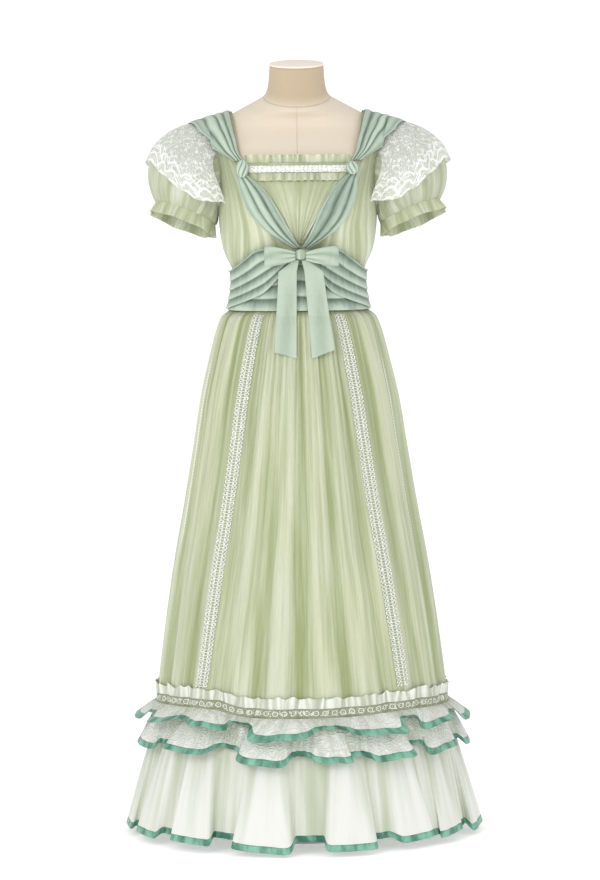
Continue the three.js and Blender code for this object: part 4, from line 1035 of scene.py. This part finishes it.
HEADING_TALL, HEADING_COLUMNS = 17, 1300
heading_rows = np.linspace(0, 1, 7)[:, None]
heading_columns = np.arange(HEADING_COLUMNS) * SKIRT_COLUMNS / HEADING_COLUMNS
around = np.arange(HEADING_COLUMNS)[None] / HEADING_COLUMNS
heading_z = BAND_LOW + BAND_TALL + SEAM + HEADING_TALL * heading_rows
heading_z = heading_z + hem_up(skirt_turn(heading_columns, BAND_LOW))[None]
leaning = around + heading_rows * 0.003 * np.sin(2 * np.pi * around * 37) * np.sin(2 * np.pi * around * 5 + 1)
pinches = np.clip(ridges(leaning % 1, heading_rows * 0 + 0.5, 130, 91, closed=True, wide=0.4), 0, 1)
ragged = ridges(around, heading_rows * 0 + 0.5, 64, 95, closed=True, wide=0.4) * 0.9 + pinches * 0.4
lift = BAND_LIFT + LACE + 0.3 + pinches * mix(0.8, 5.4, heading_rows)
grid = moved(skirt_outer(heading_columns[None], heading_z), lift, closed=True, upright=np.zeros(7))
grid[..., 2] += (ragged - 0.4) * heading_rows * 7.5
heading_stuff = look("heading_lace", heading_lace)
heading = surface("hem_heading_frill", grid, heading_stuff, closed=True, crest=pinches * np.ones((7, 1)))
sewn(heading, grid, ["frill_heading"], closed=True)


def ruffle_lace(start, across, along, high):
    """White floral lace: corded flowers on a close net, with painted shade that greys it in its folds
    and between its gathers.
    """
    bend = start.point(across / 30, along / 30, 2.0).noise(1.0)
    place = start.point(across / 15 + bend * 1.6, along / 15 - bend * 1.4)
    cord = 1 - place.cells("DISTANCE_TO_EDGE").ramp(0.02, 0.11)
    petal = 1 - abs(place.cells() - 0.24).ramp(0.03, 0.12)
    gather = start.point(across / 4, along / 50, 3.0).noise(2.0).ramp(0.3, 0.7)
    cover = cord.most(petal)
    tone = (high * 0.7 + cover * 0.2 + gather * 0.25).ramp(0.05, 0.95)
    return {
        "Base Color": tone.blend(colour(182, 192, 168), colour(238, 240, 234)),
        "Roughness": 0.85,
        "Normal": cover.bump(0.0012),
    }


def voile_paint(start, across, along, high):
    grain = start.point(across / 2.4, along / 90, 6.0).noise(3.0, 0.65).ramp(0.25, 0.75)
    broad = start.point(across / 22, along / 240, 4.0).noise(1.0).ramp(0.35, 0.65)
    # Painted shade and light: darker low in the folds and in broad soft bands, near white on the crests; the
    # fine grain is the voile's weave.
    tone = (high * 0.74 + grain * 0.1 + broad * 0.24).ramp(0.06, 0.98)
    return {
        "Base Color": tone.blend(colour(184, 193, 166), colour(236, 237, 231)),
        "Roughness": 0.85,
        "Sheen Weight": 0.2,
        "Normal": grain.bump(0.0004),
    }


def ribbon_paint(start, across, along, high):
    thread = start.point(across / 0.9, along / 14, 1.0).noise(2.0)
    # Painted highlights: the satin's shine is painted lighter in soft spots and on the fold crests; the
    # thread is the weave.
    shine = start.point(across / 17, along / 40, 4.0).noise(2.0, 0.5).ramp(0.32, 0.7)
    tone = (shine * 0.6 + high * 0.4 + thread * 0.12).ramp(0.12, 1.0)
    return {
        "Base Color": tone.blend(colour(46, 104, 82), colour(132, 190, 166)),
        "Roughness": 0.34,
        "Normal": (thread * 0.15 + shine).bump(0.0012),
    }


ribbon_satin = look("ribbon_satin", ribbon_paint)

# Each crest of a tier: its turn from the front, how much of the full depth it has, how far its
# edge hangs, how many degrees it leans over to the right, how much lower its right side is than
# its middle, and how far the edge rises in the trough at its right.
CREST = dict(turn=0, full=1, hang=2, lean=3, tilt=4, rise=5)
UPPER_CRESTS = [
    (-86, 0.85, 2, 2, 2, 11), (-57, 0.85, 2, -2, -3, 7), (-39, 0.95, 0, 3, 0, 15), (-7, 1.0, 9, -2, -3, 9),
    (26, 0.95, 6, 3, 2, 14), (57, 0.9, 2, -4, -5, 12), (86, 0.85, 3, -3, -3, 8), (116, 1.0, 5, 4, 3, 12),
    (146, 0.8, 4, -4, -3, 7), (170, 0.95, 6, 0, 2, 13), (203, 0.85, 5, 3, 3, 8), (238, 1.0, 4, -3, -3, 12),
]
LOWER_CRESTS = [
    (-75, 0.85, 2, 3, 2, 8), (-44, 1.0, 0, -2, 2, 15), (-11, 1.0, 6, -2, 3, 9), (9, 0.75, 3, 2, 1, 5),
    (30, 0.95, 5, 3, -2, 12), (60, 0.95, 2, -4, -4, 8), (88, 0.85, 3, -2, -2, 8), (120, 0.9, 5, 3, 3, 12),
    (150, 1.0, 5, -2, 3, 7), (180, 0.8, 4, 3, 4, 10), (208, 0.95, 5, -3, -3, 9), (243, 0.85, 4, 3, 3, 10),
]
FLOUNCE_CRESTS = [
    (-84, 0.85, 2, 2, 1, 2), (-62, 0.9, 3, 0, 2, 4), (-42, 1.0, 2, 2, 1, 9), (-13, 1.0, 6, -1, 3, 9),
    (17, 1.0, 5, 0, 0, 8), (38, 0.7, 0, 3, -2, 2), (58, 0.8, 0, -2, -3, 5), (80, 0.95, 3, -3, -3, 7),
    (108, 0.95, 4, 3, 3, 9), (131, 0.6, 1, -2, -2, 3), (152, 1.0, 5, 0, 3, 9), (176, 0.85, 4, -3, -3, 4),
    (201, 0.95, 5, 3, 3, 9), (237, 0.95, 4, -2, -3, 8),
]
# Each tier: its crests, the heights of its top and edge, how far it stands out at its top, how
# much farther at its edge, the depth of its folds, how wide and how leaning the folds are, how
# soft their crests are, and how much of the hem's wander its edge follows.
TIERS = [
    ("ruffle_upper", UPPER_CRESTS, 236.5, 212, 12, 18, 24, 0.6, 0.62, 0.85, 1.0, ruffle_lace, "lace"),
    ("ruffle_lower", LOWER_CRESTS, 231, 164, 10.8, 16, 26, 0.6, 0.62, 0.85, 0.8, ruffle_lace, "lace"),
    ("flounce", FLOUNCE_CRESTS, 196, 13, 11, 27, 34, 0.55, 0.95, 0.72, 0.3, voile_paint, "cotton"),
]
TIER_COLUMNS = 1140
for name, crests, top, edge, starts, flare, deep, swell, steep, soft, climb, paint, slot in TIERS:
    count = len(crests)
    crests = np.array(crests, float)
    at = np.arange(TIER_COLUMNS) / TIER_COLUMNS * count
    own = crests[np.floor(at + 0.5).astype(int) % count]
    left = crests[np.floor(at).astype(int) % count]
    theta = 2 * np.pi * (at - np.floor(at + 0.5))
    crest_turns = np.append(crests[:, CREST["turn"]], crests[0, CREST["turn"]] + 360)
    gap = np.diff(crest_turns)[np.floor(at).astype(int) % count]
    base_turn = np.interp(at, np.arange(count + 1), crest_turns)
    crest = smooth(np.cos(theta), -soft, soft)
    floor_level = 0.6 * np.clip(1 - left[:, CREST["rise"]] / 12, 0, 1)
    around = (at / count)[None]
    sub = ridges(around, np.array([[0.5]]), count * 7, 101 + count, closed=True)[0]
    reach = math.hypot(top - edge, flare + deep / 2)
    ribbon_from = 1 - RIBBON_TALL / reach

    def tier_line(t):
        bend = swell * np.sin(theta) + steep * np.sin(2 * theta) / 2
        turn = base_turn + t * (bend * gap / (2 * np.pi) + own[:, CREST["lean"]] * crest)
        full = mix(floor_level, own[:, CREST["full"]], crest)
        gathers = (sub - 0.4) * mix(4.2, 2.4, t) * smooth(t, 0, 0.16)
        off = starts + flare * t**FLARE_CURVE + deep * full * t + gathers
        low = edge + left[:, CREST["rise"]] * (1 - crest) - own[:, CREST["hang"]] * crest
        low = low - own[:, CREST["tilt"]] * np.sin(theta) * crest * 1.5
        low = low + climb * hem_up(turn) - 2.5 * climb * sub
        high = top + (hem_up(turn) if name == "ruffle_upper" else 0)
        return skirt_point(turn, top, off, mix(high, np.maximum(low, 3.0), t))

    cloth_shares = np.linspace(0, ribbon_from - SEAM / reach, 46 if name == "flounce" else 20)
    cloth = np.stack([tier_line(t) for t in cloth_shares])
    shade = np.clip(0.2 + 0.5 * crest[None] * cloth_shares[:, None] ** 0.5 + 0.4 * sub[None], 0, 1)
    tier = surface(name + "_cloth", cloth, look(name + "_stuff", paint), closed=True, crest=shade)
    sewn(tier, cloth, [name], closed=True)
    edging = np.stack([tier_line(t) for t in np.linspace(ribbon_from, 1, 5)])
    inner = moved(edging, -0.8, closed=True, upright=np.zeros(5))
    shine = np.clip(crest * 0.6 + sub * 0.4, 0, 1)[None] * np.ones((5, 1))
    ribbon = surface(name + "_ribbon", edging, ribbon_satin, closed=True, inner=inner, crest=shine)
    sewn(ribbon, edging, ["ribbon_" + name], closed=True)

# The waistband: a band of sage cloth with level pleats all round, and on its front two wraps of
# the same cloth whose pleats fan out of the bow down to the side seams.

SATIN, CLEAR, PLEAT_DEEP, BAND_PLEATS, WRAP_PLEATS = 1.3, 2.6, 2.2, 3, 4
PLEAT_BACK = 0.86  # the share of a pleat at which it lies farthest back, under the next one
UNDERSIDE = 0.5  # how far out a sash's inner face lies, where its outer one lies at SATIN
WRAP = Table(
    "x low high",
    [
        (9, 1058, 1080), (38, 1024, 1081), (60, 1001, 1078),
        (84, 988, 1062), (112, 975, 1044), (122, 969, 1039),
    ],
)
WRAP_LIFT, WRAP_FROM, WRAP_TO, WRAP_FLARE = SATIN + PLEAT_DEEP + 0.6, 6, 80, 2.6


def sage(wrinkled, light, deep):
    """Paint of matte sage cloth with a faint slub weave, more or less wrinkled, with painted shade
    in its folds, pleats and wrinkles and painted light on their crests.
    """

    def paint(start, across, along, high):
        slub = start.point(across / 1.1, along / 9, 3.0).noise(2.0, 0.6)
        weft = start.point(across / 12, along / 1.0, 7.0).noise(2.0, 0.6)
        grain = slub * 0.5 + weft * 0.5
        wrinkle = start.point(across / 9, along / 34, 5.0).noise(2.0, 0.5, 0.6) * wrinkled
        # Painted shade and light: the deep colour fills the folds' troughs and the wrinkles' hollows.
        tone = (grain * 0.2 + wrinkle * 0.3 + high * 0.8).ramp(0.2, 1.05)
        return {
            "Base Color": tone.blend(deep, light),
            "Roughness": 0.68,
            "Sheen Weight": 0.25,
            "Normal": (grain * 0.2 + wrinkle).bump(0.0022),
        }

    return paint


sash_cloth = look("sash_cloth", sage(1.0, colour(197, 213, 195), colour(84, 107, 90)))


def band_off(z):
    return stand_off(z) + GAUZE + CLEAR


def pleated(count, share):
    """How far overlapping pleats stand out (0 to 1): each at its lower edge, and under the next."""
    k = np.minimum(share * count, count - 1e-6)
    within = k - np.floor(k)
    out = np.where(within < PLEAT_BACK, 1 - within / PLEAT_BACK, (within - PLEAT_BACK) / 0.14)
    return np.where(share >= 1, 0.5, out)


def pleat_rows(rows, count):
    """Shares up a pleated piece: even ones, and more of them where each pleat turns over."""
    over = np.array([PLEAT_BACK, 0.93, 0.999]) / count
    return np.unique(np.concatenate([np.linspace(0, 1, rows), *[over + k / count for k in range(count)]]))


pleat_shares = pleat_rows(34, BAND_PLEATS)
band_turns = np.arange(180) * 2
band_top = WAISTBAND_TOP - 3 + 17 * np.exp(-(((band_turns + 180) % 360 - 180) / 13) ** 2)
band_z = mix(WAIST + 1, band_top[None], pleat_shares[:, None])
sway = 1 + 0.25 * np.sin(np.radians(band_turns * 5)) + 0.2 * np.sin(np.radians(band_turns * 13 + 40))
high = pleated(BAND_PLEATS, pleat_shares)[:, None] * np.clip(sway[None], 0.5, 1.25)
grid = section_point(band_turns[None], band_z, band_off(band_z) + SATIN + PLEAT_DEEP * high * 0.95)
# Painted shade: each pleat is painted darker where it lies back under the next.
band = surface("waistband_cloth", grid, sash_cloth, closed=True, crest=high * 0.8 + 0.1)
sewn(band, grid, ["waistband"], closed=True)

wrap_shares = pleat_rows(40, WRAP_PLEATS)
wrap_turns = np.linspace(WRAP_FROM, WRAP_TO, 60)
for name, sign in SIDES.items():
    x = 122 * signed_power(np.sin(np.radians(wrap_turns)), 2 / float(FORM.read("square", WAIST)))
    z = mix(WRAP.read("low", x)[None], WRAP.read("high", x)[None], wrap_shares[:, None])
    flare = WRAP_FLARE * smooth(z, WAISTBAND_TOP, 1081)
    high = pleated(WRAP_PLEATS, wrap_shares)[:, None] * (1 + 0.12 * np.sin(wrap_turns / 9 + sign))[None]
    off = band_off(z) + WRAP_LIFT + flare
    outer = section_point(sign * wrap_turns[None], z, off + SATIN + PLEAT_DEEP * high)
    inner = section_point(sign * wrap_turns[None], z, off + UNDERSIDE + PLEAT_DEEP * high * 0.9)
    # Painted shade: each pleat is painted darker where it lies back under the next.
    wrap = surface(f"wrap_{name}", outer, sash_cloth, inner=inner, crest=high * 0.8 + 0.1)
    sewn(wrap, outer, [f"sash_wrap_{name}"])

# The sash: a band of the sage cloth lies over each shoulder in long folds, is knotted at the
# neckline's corners and runs down to the waist in a V, in front and behind.

SASH_LIFT, DRAPE_LIFT = GAUZE + GATHER_DEEP + 1, GAUZE + 1.6
KNOT_X, KNOT_Z, V_X, V_FOLD_DEEP, DRAPE_DEEP = NECK_HALF + 1, 1231, 6, 3.4, 3
V_HALF = Table("share front back", [(0, 7, 12), (0.25, 22, 18), (0.5, 27, 18), (0.78, 21, 15), (1, 7, 12)])
V_ENDS = {"front": (V_POINT + 1, 1217), "back": (WAISTBAND_TOP + 5, 1231)}
DRAPE = Table(
    "over low high out",
    [
        (3, 97, 114, 5),
        (16, 106, 132, 7),
        (29, 110, 144, 12),
        (45, 115, 158, 16),
        (67, 121, 180, 18),
        (90, 124, 196, 13),
        (113, 120, 178, 18),
        (135, 114, 156, 16),
        (151, 106, 140, 12),
        (164, 99, 126, 7),
        (178, 88, 112, 5),
    ],
)


def long_folds(share, along, count, seed):
    """Lengthwise folds of uneven width and height, 0 to 1."""
    chance = np.random.default_rng(seed)
    knots = np.cumsum(chance.uniform(0.5, 1.5, count + 1))
    knots = (knots - knots[0]) / (knots[-1] - knots[0])
    lean = chance.uniform(-0.2, 0.2) * (along - 0.5)
    at = np.interp(np.clip(share + lean, 0, 1), knots, np.arange(count + 1))
    size = np.interp(at, np.arange(count + 1), chance.uniform(0.4, 1.0, count + 1))
    return np.abs(np.sin(np.pi * at)) ** 0.7 * size


def lit(fold, share):
    """How high the folds are painted, which sets their painted shade and light: as they are, with the
    turned edges painted as light as a ridge.
    """
    return np.maximum(fold, 0.7 * (1 - smooth(np.minimum(share, 1 - share), 0.02, 0.14)))


def both_faces(flat, lift, fold):
    """A folded sash's outer and inner face, by how far it lies off the bodice."""
    core = laid_core(flat)
    return moved(flat, lift + SATIN + fold, core=core), moved(flat, lift + UNDERSIDE + fold * 0.85, core=core)


for name, sign in SIDES.items():
    for face, side in FACES.items():
        low, high_end = V_ENDS[face]
        lines, share = [], np.linspace(0, 1, 44)
        for z in np.linspace(low, high_end, 64):
            along = (z - low) / (high_end - low)
            half = float(V_HALF.read(face, along))
            middle = mix(half + 1 + (sign * V_X if side == FRONT else 0), KNOT_X, along)
            least = (sign * V_X if side == FRONT else 0) + SEAM
            x = sign * mix(max(middle - half, least), middle + half, share)
            lines.append(bodice_point(x, z - ARMPIT, side))
        flat = np.stack(lines)
        fold = long_folds(share[None], np.linspace(0, 1, 64)[:, None], 3, 111 + sign + 3 * side)
        outer, inner = both_faces(flat, SASH_LIFT, V_FOLD_DEEP * fold)
        band = surface(f"sash_band_{face}_{name}", outer, sash_cloth, inner=inner, crest=lit(fold, share))
        sewn(band, outer, [f"sash_{face}_{name}"])

    lines, share = [], np.linspace(0, 1, 56)
    overs = np.linspace(3, 178, 96)
    for over in overs:
        x = mix(float(DRAPE.read("low", over)), float(DRAPE.read("high", over)), share)
        limit = float(ARMHOLE.read("x", TURN_OVER + min(over, 180 - over)))
        line = over_shoulder(sign * np.minimum(x, limit), over)
        line[:, 0] = sign * x
        line[:, 2] -= 0.45 * np.maximum(0, x - limit)
        lines.append(line)
    flat = np.stack(lines)
    lift = mix(DRAPE_LIFT, DRAPE.read("out", overs)[:, None], share[None])
    fold = long_folds(share[None], np.linspace(0, 1, 96)[:, None], 4, 121 + sign)
    outer, inner = both_faces(flat, lift, DRAPE_DEEP * fold)
    drape = surface(f"sash_drape_{name}", outer, sash_cloth, inner=inner, crest=lit(fold, share))
    sewn(drape, outer, [f"sash_shoulder_{name}"])

    corner = bodice_point(np.array([sign * KNOT_X]), KNOT_Z - 4 - ARMPIT, FRONT)[0] - (0, SASH_LIFT + 14, 0)
    turns, ups = np.arange(64) / 64 * 2 * np.pi, np.linspace(-1, 1, 30)[:, None]
    wide, deep, tall = (11, 7, 16) if name == "left" else (11, 7, 12)
    rounding = np.sqrt(1 - (0.97 * ups) ** 2)
    groove = 1 - 0.16 * (1 - np.abs(np.sin(turns * 3 + ups * 2.2 * sign)) ** 0.6)
    x = corner[0] + wide * rounding * groove * np.cos(turns)
    y = corner[1] + deep * rounding * groove * np.sin(turns)
    grid = np.stack([x, y, corner[2] + tall * ups + 0 * turns], -1)
    # Painted shade: the knot is painted darker in its grooves.
    crest = np.clip((groove - 0.84) * 6, 0, 1)
    knot = surface(f"sash_knot_cloth_{name}", grid, sash_cloth, closed=True, crest=crest)
    sewn(knot, grid, [f"sash_knot_{name}"], closed=True, turned=2)

# The bow: tied of the same sage cloth over the V's point, with a flat knot, two loops folded at
# their outer ends and two tails with slanted ends that hang before the waistband and the skirt.

BOW_X, BOW_Y, BOW_Z = 4, -128, 1071
bow_cloth = look("bow_cloth", sage(0.4, colour(192, 207, 188), colour(104, 126, 107)))
LOOP = Table(
    "way out fore half",
    [
        (0, 9.8, 2, 7), (1, 26, 8, 12), (2, 44, 10, 16), (3, 60, 7, 18), (4, 66, 1, 18), (5, 60, -4, 18),
        (6, 42, -5, 15), (7, 24, -4, 11), (8, 9.8, -1.5, 7),
    ],
)
turns, ups = np.arange(64) / 64 * 2 * np.pi, np.linspace(-1, 1, 26)[:, None]
groove = 1 - 0.08 * np.abs(np.sin(turns * 2 + 0.6))[None] ** 0.6
pinch = (1 - 0.25 * ups * ups) * groove * np.sqrt(1 - (0.9 * ups) ** 6)
x = BOW_X + 9.4 * pinch * np.cos(turns)
y = BOW_Y + 4.8 * pinch * np.sin(turns)
grid = np.stack([x, y, BOW_Z + 9 * ups + 0 * turns], -1)
# Painted shade: the bow's knot is painted darker in its grooves.
bow_knot = surface("bow_knot_cloth", grid, bow_cloth, closed=True, crest=groove * 5 - 4)
sewn(bow_knot, grid, ["bow_knot"], closed=True)

for name, sign in SIDES.items():
    way, up = np.linspace(0, 8, 110)[None], np.linspace(-1, 1, 34)[:, None]
    out = LOOP.read("out", way) * (0.97 if name == "left" else 1.03)
    near = np.exp(-((way / 1.6) ** 2)) + np.exp(-(((way - 8) / 1.6) ** 2))
    tuck = np.cos(up * np.pi * 2.5 + sign) * near * 0.9 + np.cos(up * 5 + way) * 0.5 * (1 - near)
    x = BOW_X + sign * out + 0 * up
    tucked = tuck * smooth(way, 0, 1) * (1 - smooth(way, 7, 8))
    y = BOW_Y - LOOP.read("fore", way) - 1.5 * (1 - up * up) - tucked
    grid = np.stack([x, y, BOW_Z - 3 + up * LOOP.read("half", way)], -1)
    core = np.stack([0 * x + BOW_X + sign * 36, 0 * x + BOW_Y, grid[..., 2]], -1)
    outer, inner = moved(grid, SATIN, core=core), moved(grid, UNDERSIDE, core=core)
    # Painted shade: the loops are painted darker in their tucks.
    crest = np.clip(0.75 + tuck * 0.3, 0, 1)
    loop = surface(f"bow_loop_cloth_{name}", outer, bow_cloth, inner=inner, crest=crest)
    sewn(loop, outer, [f"bow_loop_{name}"])


def front_of(z):
    """How far the front of the dress stands out at a height, for what hangs before it."""
    above = FORM.read("front", z) + band_off(z) + WRAP_LIFT + SATIN + PLEAT_DEEP
    below = SKIRT.read("front", z) + FOLD_DEEP.read("deep", z) + GAUZE
    return np.where(z > WAIST, above, below)


TAIL_TOP, TAIL_OPEN, TAIL_END, TAIL_CLEAR = 1060.5, 1040, 888, 1.35
# Each tail's two edges across, at the knot, where it opens and at its end, and its end's heights.
TAILS = [
    ("left", -8, 1, -36, -3, -45, -4.5, 894, 883),
    ("right", 6, 15, 11, 45, 23, 65, 882, 898),
]
tail_heights = np.array([TAIL_TOP, TAIL_OPEN, 1000, 958, 940, 915, TAIL_END])
for name, top_from, top_to, open_from, open_to, end_from, end_to, end_low, end_high in TAILS:
    share, rows = np.linspace(0, 1, 30)[None], np.linspace(0, 1, 80)[:, None]
    z_line = mix(TAIL_TOP, TAIL_END, rows)
    down = np.clip((TAIL_OPEN - z_line) / (TAIL_OPEN - TAIL_END), 0, 1)
    opened = np.clip((TAIL_TOP - z_line) / (TAIL_TOP - TAIL_OPEN), 0, 1)
    left = np.where(z_line > TAIL_OPEN, mix(top_from, open_from, opened), mix(open_from, end_from, down))
    right = np.where(z_line > TAIL_OPEN, mix(top_to, open_to, opened), mix(open_to, end_to, down))
    z = z_line + smooth(rows, 0.6, 1) * (mix(end_low, end_high, share) - TAIL_END)
    knots = [-np.maximum(front_of(h) + TAIL_CLEAR, 124.0 if k < 2 else 0) for k, h in enumerate(tail_heights)]
    y = np.interp(-z, -tail_heights, knots)
    wave = 0.9 * np.sin(np.pi * 2 * share + rows * 2) * smooth(rows, 0.1, 0.5)
    grid = np.stack([mix(left, right, share), y - np.abs(wave) - 0.2, z], -1)
    outer, inner = moved(grid, SATIN), moved(grid, UNDERSIDE)
    # Painted shade: the tails are painted a little darker along their ripples.
    crest = np.clip(0.85 + wave * 0.15, 0, 1)
    tail = surface(f"bow_tail_cloth_{name}", outer, bow_cloth, inner=inner, crest=crest)
    sewn(tail, outer, [f"bow_tail_{name}"])

# The white studio: a sweep of floor that meets a bright surround, a broad soft light from the
# front left, a weaker one from the right, and the camera a little over half way up the dress.

floor_mesh = bpy.data.meshes.new("studio_floor")
floor_corners = [(-30, -12, -0.001), (30, -12, -0.001), (30, 40, -0.001), (-30, 40, -0.001)]
floor_mesh.from_pydata(floor_corners, [], [(0, 1, 2, 3)])
floor = bpy.data.objects.new("studio_floor", floor_mesh)
bpy.context.scene.collection.objects.link(floor)
floor_mesh.materials.append(look("studio_white", lambda start, *place: {
    "Base Color": colour(247, 247, 247),
    "Roughness": 0.9,
    "Emission Color": (1.0, 1.0, 1.0, 1.0),
    "Emission Strength": 0.42,
}))

world = bpy.data.worlds.new("studio")
bpy.context.scene.world = world
world.use_nodes = True
sky = Socket(world.node_tree)
seen = sky.node("ShaderNodeLightPath", {}, {}, "Is Camera Ray")
background = world.node_tree.nodes["Background"]
background.inputs["Color"].default_value = (1.0, 1.0, 1.0, 1.0)
world.node_tree.links.new(seen.ramp(0.0, 1.0, 0.74, 1.1).socket, background.inputs["Strength"])

for name, energy, size, place, target in (
    ("key", 70, 2.4, (-2.6, -4.2, 3.2), (0, 0, 0.8)),
    ("fill", 22, 2.8, (3.4, -3.6, 1.8), (0, 0, 0.8)),
):
    lamp = bpy.data.lights.new(name, "AREA")
    lamp.energy, lamp.size = energy, size
    light = bpy.data.objects.new(name, lamp)
    z_way = unit(np.array(place, float) - target)
    x_way = unit(np.cross((0, 0, 1), z_way))
    turn = Matrix(np.stack([x_way, np.cross(z_way, x_way), z_way], 1).tolist())
    light.matrix_world = Matrix.Translation(place) @ turn.to_4x4()
    bpy.context.scene.collection.objects.link(light)

bpy.context.scene.view_settings.view_transform = "Standard"
lens = bpy.data.cameras.new("front_camera")
lens.sensor_fit, lens.sensor_height, lens.lens = "VERTICAL", 36, 143.75
camera = bpy.data.objects.new("front_camera", lens)
pitch, roll = Matrix.Rotation(math.radians(90 - 4.2), 4, "X"), Matrix.Rotation(-0.0096, 4, "Z")
camera.matrix_world = Matrix.Translation((0, -6.5, 1.202)) @ pitch @ roll
bpy.context.scene.collection.objects.link(camera)
bpy.context.scene.camera = camera
